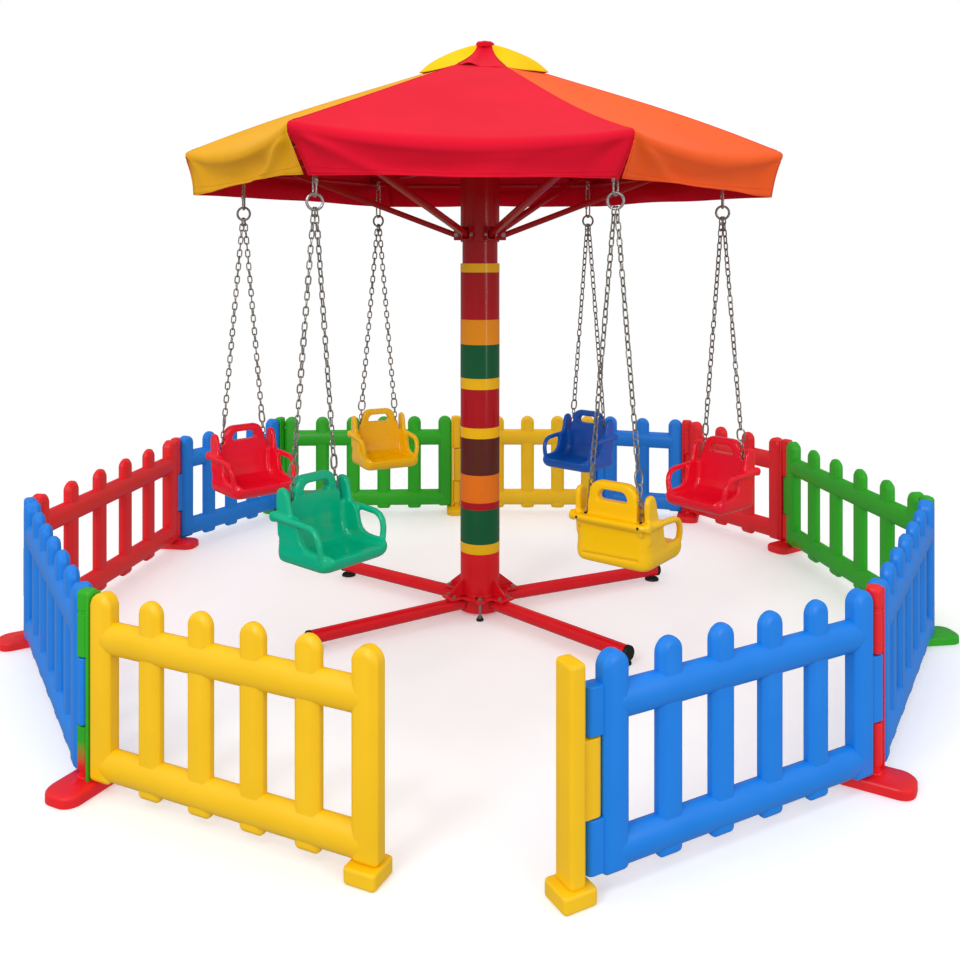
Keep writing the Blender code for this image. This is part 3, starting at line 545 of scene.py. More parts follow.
mast = {
    "radius": 0.0885, "neckRadius": 0.080, "bottom": 0.0871, "neckTop": 1.668,
    # top edge of each painted or taped stretch, from the floor up
    # the lowest stretch takes the brighter leg red as painted light from the floor
    "bands": ((0.272, "floorLitRed"), (0.316, "yellow"), (0.470, "green"), (0.501, "red"), (0.624, "orange"), (0.788, "maroon"),
              (0.835, "yellow"), (1.007, "red"), (1.056, "yellow"), (1.207, "green"), (1.319, "amber"), (1.531, "red"),
              (1.571, "yellow")),
    "tape": 0.0005,
}


def makeMast():
    m = mast
    names = list(bandPaint)
    profile = [(0, m["bottom"])]
    height = m["bottom"]
    stretches = []
    for top, colour in m["bands"]:
        r = m["radius"] + (0 if colour in ("red", "floorLitRed") else m["tape"])
        profile += [(r, height), (r, top)]
        stretches.append((height, top, names.index(colour)))
        height = top
    profile += [(m["neckRadius"], height), (m["neckRadius"], m["neckTop"]), (0, m["neckTop"])]
    bm = bmesh.new()
    addMesh(bm, lathe(profile, 96))
    for face in bm.faces:
        z = face.calc_center_median().z
        for low, top, index in stretches:
            if low - 1e-5 <= z <= top + 1e-5:
                face.material_index = index
    finishPiece("mastTube", bm, list(bandPaint.values()), "stand", ["mast_column"], sharp=25)


makeBase()
makeMast()
print("base and mast ready")


# Turning head

head = {
    "turn": -3.0, "sleeveBottom": 1.6683, "sleeveTop": 2.10, "postRadius": 0.030, "postTop": 2.52,
    "lugReach": 0.118, "lugWidth": 0.040, "lugBottom": 1.676, "lugTop": 1.736,
    # direction and reach of each arm
    "arms": ((0, 1.2998), (60, 1.218), (124, 1.175), (180, 1.2998), (240, 1.205), (299, 1.150)),
    "armSize": 0.030, "strutFoot": (0.104, 1.697), "strutHead": (0.960, 2.024), "strutSize": 0.026,
    # the eye under each arm that a hook hangs on
    "eyeReach": 1.09, "eyeHeight": 1.9903, "eyeRadius": 0.016, "eyeWire": 0.004,
}


def squareTube(start, end, size, edge=0.003):
    start, end = Vector(start), Vector(end)
    along = end - start
    bm = bmesh.new()
    addMesh(bm, roundedBox((-size / 2, -size / 2, 0), (size / 2, size / 2, along.length), edge, 2))
    turned = along.to_track_quat("Z", "Y").to_matrix().to_4x4()
    bmesh.ops.transform(bm, matrix=Matrix.Translation(start) @ turned, verts=bm.verts)
    return asMesh(bm)


def makeHead():
    h = head
    turn = spun(h["turn"])
    bm = bmesh.new()
    r = mast["radius"]
    addMesh(bm, lathe([(0, h["sleeveBottom"]), (r - 0.002, h["sleeveBottom"]), (r, h["sleeveBottom"] + 0.002), (r, h["sleeveTop"]),
                       (0, h["sleeveTop"])], 96))
    post, postFoot = h["postRadius"], h["sleeveTop"] - 0.01
    addMesh(bm, lathe([(0, postFoot), (post, postFoot), (post, h["postTop"]), (0, h["postTop"])], 24))
    bolts = []
    for direction, _ in h["arms"]:
        out = spun(direction)
        w = h["lugWidth"] / 2
        for side in (-1, 1):  # two cheeks that hold the strut between them
            cheek = roundedBox((r - 0.012, side * w - 0.003, h["lugBottom"]), (h["lugReach"], side * w + 0.003, h["lugTop"]), 0.002, 2)
            addMesh(bm, cheek, out)
        addMesh(bm, roundedBox((r - 0.012, -w, h["lugBottom"]), (h["lugReach"] - 0.002, w, h["lugBottom"] + 0.006), 0.0015, 2), out)
        spot = out @ shifted(0.107, 0, 1.700)
        bolts += addMesh(bm, hexBolt(0.008, 0.006), spot @ shifted(0, -w - 0.003, 0) @ quarterTurn)
        bolts += addMesh(bm, hexBolt(0.008, 0.006), spot @ shifted(0, w + 0.003, 0) @ quarterTurn.inverted())
    paintFaces(bm, bolts, 1)
    finishPiece("headTube", bm, [redPaint, brightSteel], "head", ["head_sleeve"], matrix=turn)

    for number, (direction, reach) in enumerate(h["arms"], start=1):
        bm = bmesh.new()
        size = h["armSize"]
        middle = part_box(f"arm_{number}")[1][2] - size / 2
        addMesh(bm, squareTube((r + 0.0003, 0, middle), (reach, 0, middle), size))
        foot, top = h["strutFoot"], h["strutHead"]
        addMesh(bm, squareTube((foot[0], 0, foot[1]), (top[0], 0, top[1]), h["strutSize"]))
        addMesh(bm, roundedBox((0.900, -0.003, middle - 0.030), (0.985, 0.003, middle), 0.001, 1))
        out, eye, wide = h["eyeReach"], h["eyeHeight"], h["eyeRadius"]
        loop = [(out + wide * math.cos(a), 0, eye + wide * math.sin(a)) for a in (2 * math.pi * k / 24 for k in range(24))]
        steel = addMesh(bm, sweep(loop, h["eyeWire"], 10, closed=True))
        shank = [(0, eye + 0.013), (0.006, eye + 0.013), (0.006, middle - 0.014), (0, middle - 0.014)]
        steel += addMesh(bm, lathe(shank, 16, (out, 0, 0)))
        steel += addMesh(bm, hexBolt(0.010, 0.006), shifted(out, 0, middle - size / 2) @ Matrix.Rotation(math.pi, 4, "X"))
        paintFaces(bm, steel, 1)
        finishPiece(f"armTube{number}", bm, [redPaint, brightSteel], "head", [f"arm_{number}"],
                    matrix=spun(h["turn"] + direction))
    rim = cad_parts["rim_frame"]
    rim.data.materials.clear()
    rim.data.materials.append(redPaint)


makeHead()
print("head ready")


# Canopy

canopy = {
    "corners": ((1.360, 0), (0.600, 1.130), (-0.600, 1.130), (-1.366, 0), (-0.600, -1.130), (0.578, -1.128)),
    "peak": 2.520, "eave": 2.060, "peakShift": (0.022, 0), "across": 52, "down": 64, "thickness": 0.0016,
    "colours": ("red", "red", "red", "yellow", "red", "orange"),  # the panel that follows each corner
    # what each hip sinks below a straight line halfway and at its tip
    "hipSink": ((-0.020, -0.002), (0.002, 0.004), (0.002, 0.004), (-0.018, -0.020), (0.002, 0.0), (0.025, 0.034)),
    "hemShare": (0.966, 0.950, 0.950, 0.976, 0.935, 0.935), "hemHeight": (1.868, 1.884, 1.884, 1.886, 1.889, 1.872),
    "middleShare": 0.948, "sag": 0.050, "roofEnd": 0.62, "rollEnd": 0.72,
    "gather": ((0.006, 0.0), (0.0, 0.0), (0.0, 0.010), (0.010, 0.002), (0.006, 0.010), (0.000, 0.010)),
    "hemWave": (0.004, 0.004, 0.004, 0.013, -0.003, 0.006),
    # sharper folds of the valance: panel, where along the eave each starts and where it meets the hem, rise and width
    "ridges": ((3, 0.97, 0.64, 0.013, 0.07), (4, 0.02, 0.27, 0.010, 0.045), (4, 0.66, 0.60, 0.006, 0.06), (5, 0.05, 0.30, 0.008, 0.06)),
    "hemBand": 0.022,
}
cap = {
    "share": 0.215, "thickness": 0.0016, "top": 2.563, "knob": 0.042, "across": 30, "down": 28,
    "colours": ("lemon", "red", "lemon", "lemon", "red", "lemon"),
    # how steeply each hip leaves the knob (below 1 it hollows, above 1 it bulges), and how wide its corner stands
    "fall": (1.35, 0.70, 0.70, 1.35, 0.62, 0.62), "spread": (1.0, 0.9, 0.9, 1.0, 0.88, 0.90),
    # where the hips start under the knob
    "start": ((0.038, 0), (0.034, 0.017), (-0.034, 0.017), (-0.038, 0), (-0.034, -0.017), (0.034, -0.017)),
}


def smoothStep(x):
    x = max(0.0, min(1.0, x))
    return x * x * (3 - 2 * x)


def bezier(points, t):
    points = [Vector(p) for p in points]
    while len(points) > 1:
        points = [a.lerp(b, t) for a, b in zip(points, points[1:])]
    return points[0]


def hipSink(corner, share):
    middle, tip = canopy["hipSink"][corner % 6]
    return middle * math.sin(math.pi * min(1.0, share) ** 1.6) + tip * share


def roofHeight(panel, u, share):
    c = canopy
    bow = math.sin(math.pi * u) ** 0.8
    sink = hipSink(panel, share) * (1 - u) + hipSink(panel + 1, share) * u
    return c["peak"] - (c["peak"] - c["eave"]) * share - sink - bow * c["sag"] * share ** 1.8


def clothPoint(panel, u, v):
    # u runs along the eave from corner to corner, v from the peak over the eave to the hem
    c = canopy
    first, second = Vector(c["corners"][panel]), Vector(c["corners"][(panel + 1) % 6])
    u = min(1.0, max(0.0, u))
    bow = math.sin(math.pi * u) ** 0.8
    rollStart = 0.972 - 0.022 * bow
    if v < c["roofEnd"]:
        share = 0.006 + (rollStart - 0.006) * v / c["roofEnd"]
        height = roofHeight(panel, u, share)
    else:
        top = roofHeight(panel, u, rollStart)
        brow = roofHeight(panel, u, 1.0) + 0.004 + 0.004 * (1 - bow)
        hangShare = 0.998 - 0.018 * bow
        hangHeight = brow - 0.028 - 0.010 * bow
        if v < c["rollEnd"]:
            t = (v - c["roofEnd"]) / (c["rollEnd"] - c["roofEnd"])
            share, height = bezier(((rollStart, top), (1.004 - 0.010 * bow, brow), (hangShare, hangHeight)), t)
        else:
            t = (v - c["rollEnd"]) / (1 - c["rollEnd"])
            hemShare = c["hemShare"][panel] * (1 - u) + c["hemShare"][(panel + 1) % 6] * u
            hemShare += (c["middleShare"] - hemShare) * bow
            hem = c["hemHeight"][panel] * (1 - u) + c["hemHeight"][(panel + 1) % 6] * u
            hem += c["hemWave"][panel] * math.sin(math.pi * u ** 1.4) + 0.002 * math.sin(13 * u + panel)
            share, height = bezier(((hangShare, hangHeight), (hangShare - 0.018 - 0.030 * bow, hangHeight - 0.05), (hemShare, hem)), t)
    # folds: broad waves below the eave, and creases that spread from the two upper corners
    low = smoothStep((v - 0.60) / 0.20)
    swell = 0.0040 * math.sin(u * 8.0 + panel * 2.1) * low * bow
    pull = 0.0
    for side, away in ((0, u), (1, 1 - u)):
        down = max(0.0, v - c["roofEnd"]) / (1 - c["roofEnd"]) * 0.17
        along = away * 1.3
        reach = math.hypot(along, down)
        angle = math.atan2(down, along + 1e-6)
        pull += 0.014 * math.sin(angle * 6.0 + panel + side * 1.7) * math.exp(-reach / 0.16) * smoothStep(reach / 0.05) * low
    ripple = 0.010 * noise.noise(Vector((u * 5.0, v * 5.0, panel * 7.3))) * low * bow
    pucker = 0.0016 * math.sin(u * 95 + 3 * math.sin(u * 17)) * smoothStep((v - 0.93) / 0.06) * (0.3 + 0.7 * math.sin(u * 6 + panel) ** 2)
    run = max(0.0, v - c["rollEnd"]) / (1 - c["rollEnd"])
    for where, start, end, rise, width in c["ridges"]:
        if where == panel:
            pull += rise * math.exp(-((u - start - (end - start) * run) / width) ** 2) * smoothStep(run / 0.25)
    share = max(0.004, share + (swell + pull + ripple + pucker - 0.003) * low * (1 if v > c["rollEnd"] else 0.5))
    if panel == 4:  # the slit edge of the front valance curls inwards
        share -= 0.014 * math.exp(-u / 0.02) * smoothStep((v - 0.72) / 0.15)
    side = first.lerp(second, u)
    along = (second - first).normalized()
    opening = smoothStep((v - 0.70) / 0.30)
    near, far = c["gather"][panel]
    slide = near * max(0.0, 1 - 2 * u) ** 1.5 - far * max(0.0, 2 * u - 1) ** 1.5
    place = side * share + along * slide * opening + Vector(c["peakShift"]) * (1 - min(1.0, share))
    return Vector((place.x, place.y, height))


def newCloth():
    bm = bmesh.new()
    return bm, bm.loops.layers.uv.new("cloth")


def clothSlot(colour):
    return list(clothFinish).index(colour)


def clothPiece(name, bm, stands=(), thickness=0):
    piece = finishPiece(name, bm, list(clothFinish.values()), "head", stands, sharp=0, matrix=spun(head["turn"]))
    if thickness:
        skin = piece.modifiers.new("skin", "SOLIDIFY")
        skin.thickness = thickness
        skin.offset = -1
    return piece


def clothGrid(bm, layer, across, down, colour, locate, size):
    # one panel of the sheet, with its colour slot and its own cloth coordinates
    count, faceCount = len(bm.verts), len(bm.faces)
    bmesh.ops.create_grid(bm, x_segments=across, y_segments=down, size=0.5)
    bm.verts.ensure_lookup_table()
    bm.faces.ensure_lookup_table()
    grid = {}
    for vert in bm.verts[count:]:
        grid[vert] = (vert.co.x + 0.5, vert.co.y + 0.5)
        vert.co = locate(*grid[vert])
    for face in bm.faces[faceCount:]:
        face.material_index = clothSlot(colour)
        for loop in face.loops:
            u, v = grid[loop.vert]
            loop[layer].uv = ((u - 0.5) * size[0] * min(1, v / 0.7), v * size[1])


def sewn(bm, verts):
    bmesh.ops.remove_doubles(bm, verts=verts, dist=0.0012)
    bmesh.ops.recalc_face_normals(bm, faces=bm.faces)
    if sum(face.normal.z for face in bm.faces) < 0:
        bmesh.ops.reverse_faces(bm, faces=bm.faces)
    return sum(face.calc_area() for face in bm.faces)


def makeCanopy():
    c = canopy
    bm, layer = newCloth()
    for panel in range(6):
        width = (Vector(c["corners"][(panel + 1) % 6]) - Vector(c["corners"][panel])).length
        clothGrid(bm, layer, c["across"], c["down"], c["colours"][panel],
                  lambda u, v, panel=panel: clothPoint(panel, u, v), (width, 1.6))
    # the panels are sewn together along the hips, and open at the corners of the valance
    area = sewn(bm, [v for v in bm.verts if v.co.z > 2.0])
    cloth = clothPiece("canopyCloth", bm, ["canopy"], c["thickness"])

    # folded hem with its row of stitching, and the bound edges of the corner slits
    bm, _ = newCloth()
    level = 1 - c["hemBand"] / 0.135 * (1 - c["rollEnd"])
    for panel in range(6):
        tone = clothSlot(c["colours"][panel])
        outline = [clothPoint(panel, 0, 0.76 + 0.24 * k / 10) for k in range(10)]
        outline += [clothPoint(panel, k / 60, 1.0) for k in range(61)]
        outline += [clothPoint(panel, 1, 1.0 - 0.24 * k / 10) for k in range(1, 11)]
        paintFaces(bm, addMesh(bm, sweep(outline, 0.0021, 6)), tone)
        row = []
        for k in range(61):
            dot = clothPoint(panel, 0.006 + 0.988 * k / 60, level)
            row.append(dot + Vector((dot.x, dot.y, 0)).normalized() * 0.0004)
        paintFaces(bm, addMesh(bm, sweep(row, 0.0013, 6)), tone)
    hem = clothPiece("valanceHem", bm)

    # felled seams along the hips
    bm, _ = newCloth()
    for panel in range(6):
        path = [clothPoint(panel, 0, 0.13 + 0.50 * k / 20) for k in range(21)]
        paintFaces(bm, addMesh(bm, sweep(path, 0.0017, 6)), clothSlot(c["colours"][panel]))
    clothPiece("hipSeams", bm)
    print("canopy cloth", round(area, 3), "square metres")


def capPoint(panel, u, v):
    c = canopy
    pair = (panel, (panel + 1) % 6)
    soft = smoothStep(u)
    power = cap["fall"][pair[0]] * (1 - soft) + cap["fall"][pair[1]] * soft
    bow = math.sin(math.pi * u)
    reach = cap["share"]
    lift = 0.006
    if panel in (1, 4):  # the front and back flaps lift off the roof in a slack wave
        lift += 0.005 + 0.015 * math.exp(-((u - 0.27) / 0.15) ** 2) + 0.003 * math.exp(-((u - 0.75) / 0.2) ** 2)
        reach -= 0.004 * math.exp(-((u - 0.27) / 0.15) ** 2)
    else:
        lift += 0.010
        reach -= 0.003 * bow - 0.004 * bow * math.sin(2 * math.pi * u)
    ends = [Vector(c["corners"][k]) * cap["spread"][k] * reach for k in pair]
    starts = [Vector(cap["start"][k]) for k in pair]
    edge = starts[0].lerp(starts[1], u).lerp(ends[0].lerp(ends[1], u), v)
    share = 0.03 + (reach - 0.03) * v
    height = cap["top"] + (roofHeight(panel, u, reach) + lift - cap["top"]) * v ** power
    if panel not in (1, 4):  # the side facets belly out, and turn down at the edge
        height += 0.012 * bow * math.sin(math.pi * v) - 0.004 * smoothStep((v - 0.85) / 0.15)
        outer = 1 - soft if panel in (0, 3) else soft
        height += 0.010 * outer * math.sin(math.pi * v ** 2)
    else:
        height += 0.005 * bow * math.sin(math.pi * v) * math.sin(3 * math.pi * u)
    ground = roofHeight(panel, u, share) + 0.0035
    place = edge + Vector(c["peakShift"]) * (1 - share)
    return Vector((place.x, place.y, max(ground, height)))


def makeCap():
    bm, layer = newCloth()
    for panel in range(6):
        clothGrid(bm, layer, cap["across"], cap["down"], cap["colours"][panel],
                  lambda u, v, panel=panel: capPoint(panel, u, v), (0.28, 0.32))
    area = sewn(bm, bm.verts)
    cloth = clothPiece("ventCloth", bm, ["canopy_cap"], cap["thickness"])
    bm, _ = newCloth()
    for panel in range(6):
        edge = [capPoint(panel, k / 30, 1.0) for k in range(31)]
        paintFaces(bm, addMesh(bm, sweep(edge, 0.0022, 6)), clothSlot(cap["colours"][panel]))
    hem = clothPiece("ventHem", bm)
    print("cap cloth", round(area, 3), "square metres")
    # cloth button over the point, drawn in by its cord
    bm, _ = newCloth()
    r = cap["knob"]
    addMesh(bm, lathe([(0, 2.552), (r * 0.88, 2.552), (r * 0.93, 2.558), (r, 2.564), (r * 0.98, 2.570), (r * 0.86, 2.5755),
                       (r * 0.4, 2.5765), (0, 2.576)], 48, (*canopy["peakShift"], 0)))
    for vert in bm.verts:
        away = Vector((vert.co.x - canopy["peakShift"][0], vert.co.y))
        around = math.atan2(away.y, away.x)
        share = min(1, away.length / r)
        vert.co.z += 0.0010 * math.sin(7 * around) * share - 0.0010
        vert.co.x *= 1 + 0.03 * math.sin(5 * around + 1) * share
    finishPiece("ventButton", bm, clothFinish["red"], "head", (), matrix=spun(head["turn"]))


makeCanopy()
makeCap()
print("canopy ready")


# Hangers, chains and seats

hang = {
    "hookTop": 1.983, "hookBend": 0.0145, "hookWire": 0.004, "hookTurns": (90, 65, -65, 90, 65, -65), "play": 0.0007,
    "ringHeight": 1.7985, "ringRadius": 0.029, "ringWire": 0.0052, "ringPlanes": (-3, 15, -21, -3, 15, -21),
    "pitch": 0.0300, "linkLength": 0.0425, "linkWidth": 0.0250, "linkWire": 0.0031, "spread": 0.108, "forward": 0.004,
    "clipLength": 0.062, "clipWidth": 0.042, "clipWire": 0.0040, "clipHeight": 0.300,
}
# heading in degrees, top edge above the floor, colour and share of the usual link; in the order of the arms
seatPlaces = ((-49, 0.790, "red", 1.0), (-40, 0.755, "blue", 1.08), (26, 0.762, "yellow", 1.08), (40, 0.830, "red", 1.0),
              (50, 0.825, "green", 0.92), (142, 0.810, "yellow", 0.92))
seat = {
    "half": 0.150, "height": 0.300, "back": 0.004, "chainEnd": 0.1735, "voxel": 0.0036,
    # the side walls' top edge, from the front lip back to the ears
    "rim": ((-0.300, 0.074), (-0.205, 0.0745), (-0.160, 0.0755), (-0.134, 0.078), (-0.114, 0.085), (-0.100, 0.098), (-0.092, 0.116),
            (-0.088, 0.138), (-0.083, 0.156), (-0.074, 0.170), (-0.062, 0.178), (0.080, 0.178)),
    # the hollow where a child sits: a flat pan that curves up into the backrest
    "hollow": ((-0.310, 0.062), (-0.222, 0.0585), (-0.180, 0.0515), (-0.110, 0.0465), (-0.072, 0.0475), (-0.048, 0.056),
               (-0.030, 0.074), (-0.020, 0.104), (-0.0155, 0.150), (-0.0145, 0.240), (-0.310, 0.240)),
    "armRadius": 0.0117,
    # up from the front corner, back along the side, and round the rear corner to the cross bar
    "arm": ((0.134, -0.204, 0.046), (0.143, -0.206, 0.076), (0.149, -0.203, 0.108), (0.151, -0.196, 0.132), (0.151, -0.182, 0.149),
            (0.151, -0.160, 0.158), (0.151, -0.110, 0.162), (0.151, -0.030, 0.165), (0.151, 0.020, 0.1665), (0.149, 0.036, 0.167),
            (0.143, 0.0465, 0.167), (0.130, 0.0505, 0.167)),
}


def stadium(halfLength, radius, steps=5):
    # a long loop in XZ round the origin
    points = []
    for centre, start in ((halfLength - radius, 0.0), (-(halfLength - radius), math.pi)):
        points += [(radius * math.cos(start + math.pi * k / steps), 0, centre + radius * math.sin(start + math.pi * k / steps))
                   for k in range(steps + 1)]
    return points


def makeLink(length, width, wire, sides=6):
    return sweep(stadium(length / 2 - wire, width / 2 - wire), wire, sides, closed=True)


def strand(bm, link, start, end, seed, size=1.0):
    start, end = Vector(start), Vector(end)
    along = end - start
    count = max(1, round(along.length / (hang["pitch"] * size)))
    shaker = random.Random(seed)
    base = along.to_track_quat("Z", "Y").to_matrix().to_4x4()
    for index in range(count):
        spot = start + along * (index + 0.5) / count
        twist = Matrix.Rotation(math.radians(20 + 90 * (index % 2) + shaker.uniform(-16, 16)), 4, "Z")
        lean = Matrix.Rotation(math.radians(shaker.uniform(-4, 4)), 4, "X")
        addMesh(bm, link, Matrix.Translation(spot) @ base @ twist @ lean @ Matrix.Diagonal((size, size, size, 1)))


def seatShell():
    s = seat
    half, voxel = s["half"], s["voxel"] * 1
    sideways = Matrix.Rotation(math.pi / 2, 4, "Z")
    # tub: rounded below, with wide round corners at the front lip, trimmed along the sloping rim
    outlines = []
    for height, inset, front, corner in ((0.008, 0.026, -0.200, 0.022), (0.012, 0.013, -0.215, 0.030), (0.020, 0.005, -0.229, 0.036),
                                         (0.031, 0.001, -0.240, 0.040), (0.044, 0.0, -0.2475, 0.042), (0.058, 0.0, -0.2465, 0.042),
                                         (0.070, 0.002, -0.239, 0.040), (0.182, 0.002, -0.239, 0.040)):
        outlines.append(roundedOutline((-half + inset, front), (half - inset, 0.040 - inset * 0.8), corner, height, 6))
    above = prism([*s["rim"], (0.080, 0.300), (-0.300, 0.300)], 2 * half + 0.1)
    above.transform(sideways)
    tub = blended([stacked(outlines)], [above], voxel * 1.15, 3)
    cavity = prism(s["hollow"], 2 * (half - 0.0245), 0.021, 4)
    cavity.transform(sideways)
    # backrest: wide below, with well rounded upper corners
    rightHalf = [(0.118, 0.10), (0.118, 0.195), (0.1165, 0.212), (0.112, 0.222), (0.104, 0.227), (0.0985, 0.233), (0.0965, 0.242)]
    rightHalf += [(0.0480 + 0.047 * math.cos(a), 0.2525 + 0.047 * math.sin(a)) for a in (math.pi / 2 * k / 7 for k in range(8))]
    backrest = prism([*rightHalf, *[(-x, z) for x, z in rightHalf[::-1]]], 0.040, 0.011, 3)
    backrest.transform(shifted(0, 0.0035, 0))
    slot = stacked([roundedOutline((-0.058, 0.2315), (0.058, 0.2705), 0.0165, height) for height in (-0.1, 0.1)])
    slot.transform(quarterTurn)
    for vert in slot.vertices:  # narrower above than below
        vert.co.x *= 1 + (0.251 - vert.co.z) * 6
    # the cross bar is moulded on to the back wall
    web = roundedBox((-0.128, 0.028, 0.148), (0.128, 0.0500, 0.1772), 0.003, 2)
    shapes, cuts = [tub, backrest, web], [cavity, slot]
    for side in (-1, 1):
        ear = prism([(-0.048, 0.100), (0.024, 0.100), (0.027, 0.170), (0.031, 0.215), (0.031, 0.243), (0.027, 0.258), (0.017, 0.268),
                     (0.002, 0.271), (-0.012, 0.269), (-0.023, 0.261), (-0.031, 0.247), (-0.036, 0.228), (-0.042, 0.202),
                     (-0.052, 0.178)], 0.0215, 0.009, 3)
        ear.transform(shifted(side * 0.1385, 0, 0) @ sideways)
        shapes.append(ear)
        knob = lathe([(0, -0.012), (0.0150, -0.011), (0.0190, -0.006), (0.0190, 0.006), (0.0150, 0.011), (0, 0.012)], 20)
        knob.transform(shifted(side * 0.1505, 0.0370, 0.167) @ Matrix.Rotation(math.pi / 2, 4, "Y"))
        shapes.append(knob)
        # bracket that ties the cross bar to the back wall
        shapes.append(roundedBox((side * 0.124 - 0.009, 0.020, 0.132), (side * 0.124 + 0.009, 0.046, 0.168), 0.006, 2))
        # the chain runs down in a channel that is open to the rear
        groove = roundedBox((-0.0105, -0.0105, s["chainEnd"]), (0.0105, 0.036, 0.320), 0.003, 2)
        groove.transform(shifted(side * 0.1085, 0, 0))
        cuts.append(groove)
    spots = [*s["arm"], *[(-x, y, z) for x, y, z in s["arm"][::-1]]]
    shapes.append(sweep(spots, s["armRadius"], 16))
    # the rolled lip follows the front of the pan
    lip = [(0.1335, -0.110, 0.0575), (0.1335, -0.190, 0.0575)]
    lip += [(0.1035 + 0.030 * math.cos(a), -0.200 - 0.030 * math.sin(a), 0.0555) for a in (math.pi / 2 * k / 6 for k in range(1, 7))]
    shapes.append(sweep([*lip, *[(-x, y, z) for x, y, z in lip[::-1]]], 0.0178, 14))
    cuts.append(sweep([(-0.112, 0.0395, 0.046), (0.112, 0.0395, 0.040)], 0.0060, 8))
    body = blended(shapes, cuts, voxel, 4)
    body.transform(shifted(0, s["back"], 0))
    return body


def makeSwings():
    h = hang
    link = makeLink(h["linkLength"], h["linkWidth"], h["linkWire"])
    clip = makeLink(h["clipLength"], h["clipWidth"], h["clipWire"], 8)
    shell = seatShell()
    print("seat shell", len(shell.polygons), "faces")
    for number, (heading, top, colour, size) in enumerate(seatPlaces, start=1):
        angle = head["turn"] + head["arms"][number - 1][0]
        centre = Matrix.Translation(spun(angle) @ Vector((head["eyeReach"], 0, 0)))
        bottom = top - seat["height"]
        heads = centre @ spun(heading)

        # quick link between the eye and the ring
        lowWire = h["ringHeight"] + h["ringRadius"] - h["ringWire"] - h["hookWire"] - h["play"]
        middle = (h["hookTop"] + lowWire) / 2
        bm = bmesh.new()
        addMesh(bm, sweep(stadium((h["hookTop"] - lowWire) / 2, h["hookBend"], 8), h["hookWire"], 12, closed=True), shifted(0, 0, middle))
        sleeve = bmesh.new()
        bmesh.ops.create_cone(sleeve, cap_ends=True, segments=6, radius1=0.0074, radius2=0.0074, depth=0.030)
        bmesh.ops.bevel(sleeve, geom=sleeve.edges, offset=0.0008, affect="EDGES", segments=1, profile=0.5, material=-1)
        addMesh(bm, asMesh(sleeve), shifted(h["hookBend"], 0, middle - 0.02))
        finishPiece(f"quickLink{number}", bm, brightSteel, f"hanger_{number}", [f"hook_{number}"],
                    matrix=centre @ spun(angle + h["hookTurns"][number - 1]))

        bm = bmesh.new()
        turns = [(h["ringRadius"] * math.cos(a), 0, h["ringRadius"] * math.sin(a)) for a in (2 * math.pi * k / 40 for k in range(40))]
        ringPlace = centre @ spun(h["ringPlanes"][number - 1]) @ shifted(0, 0, h["ringHeight"])
        ring = addMesh(bm, sweep(turns, h["ringWire"], 12, closed=True), ringPlace)
        ringBottom = h["ringHeight"] - h["ringRadius"]
        for side in (-1, 1):
            start = Vector((side * 0.0050, 0, ringBottom + 0.006))
            fork = Vector((side * 0.0100, 0, ringBottom - 0.048))
            tip = Vector((side * h["spread"], h["forward"], bottom + seat["chainEnd"]))
            along = (fork - tip).normalized()
            clipLow = tip + along * ((h["clipHeight"] - seat["chainEnd"]) / along.z)
            clipHigh = clipLow + along * (h["clipLength"] - 3.4 * h["clipWire"])
            strand(bm, link, heads @ start, heads @ fork, number * 10 + side, size)
            strand(bm, link, heads @ fork, heads @ clipHigh, number * 20 + side, size)
            strand(bm, link, heads @ clipLow, heads @ tip, number * 30 + side, 0.86)
            turned = (heads.to_3x3() @ along).to_track_quat("Z", "Y").to_matrix().to_4x4()
            addMesh(bm, clip, Matrix.Translation(heads @ ((clipLow + clipHigh) / 2)) @ turned @ spun(12 * side + 90 * (number % 2)))
        paintFaces(bm, ring, 1)
        # painted highlight: the rings of the two front swings take the paler zinc, the rear ones the duller
        finishPiece(f"chainPair{number}", bm, [galvanised, brightSteel if number > 4 else galvanised], f"swing_{number}",
                    [f"chains_{number}"])

        finishPiece(f"seatShell{number}", shell.copy(), seatPlastic[colour], f"swing_{number}", [f"seat_{number}"],
                    sharp=0, matrix=heads @ shifted(0, 0, bottom))
        bm = bmesh.new()
        for side in (-1, 1):
            bolt = heads @ shifted(side * 0.122, seat["back"] + 0.0608, bottom + 0.167) @ quarterTurn.inverted()
            addMesh(bm, hexBolt(0.0042, 0.0024), bolt)
            addMesh(bm, hexBolt(0.0052, 0.0036), heads @ shifted(side * 0.1110, 0.020, bottom + 0.174))
        finishPiece(f"seatBolts{number}", bm, darkBolt, f"swing_{number}", ())


makeSwings()
print("swings ready")


# Fence

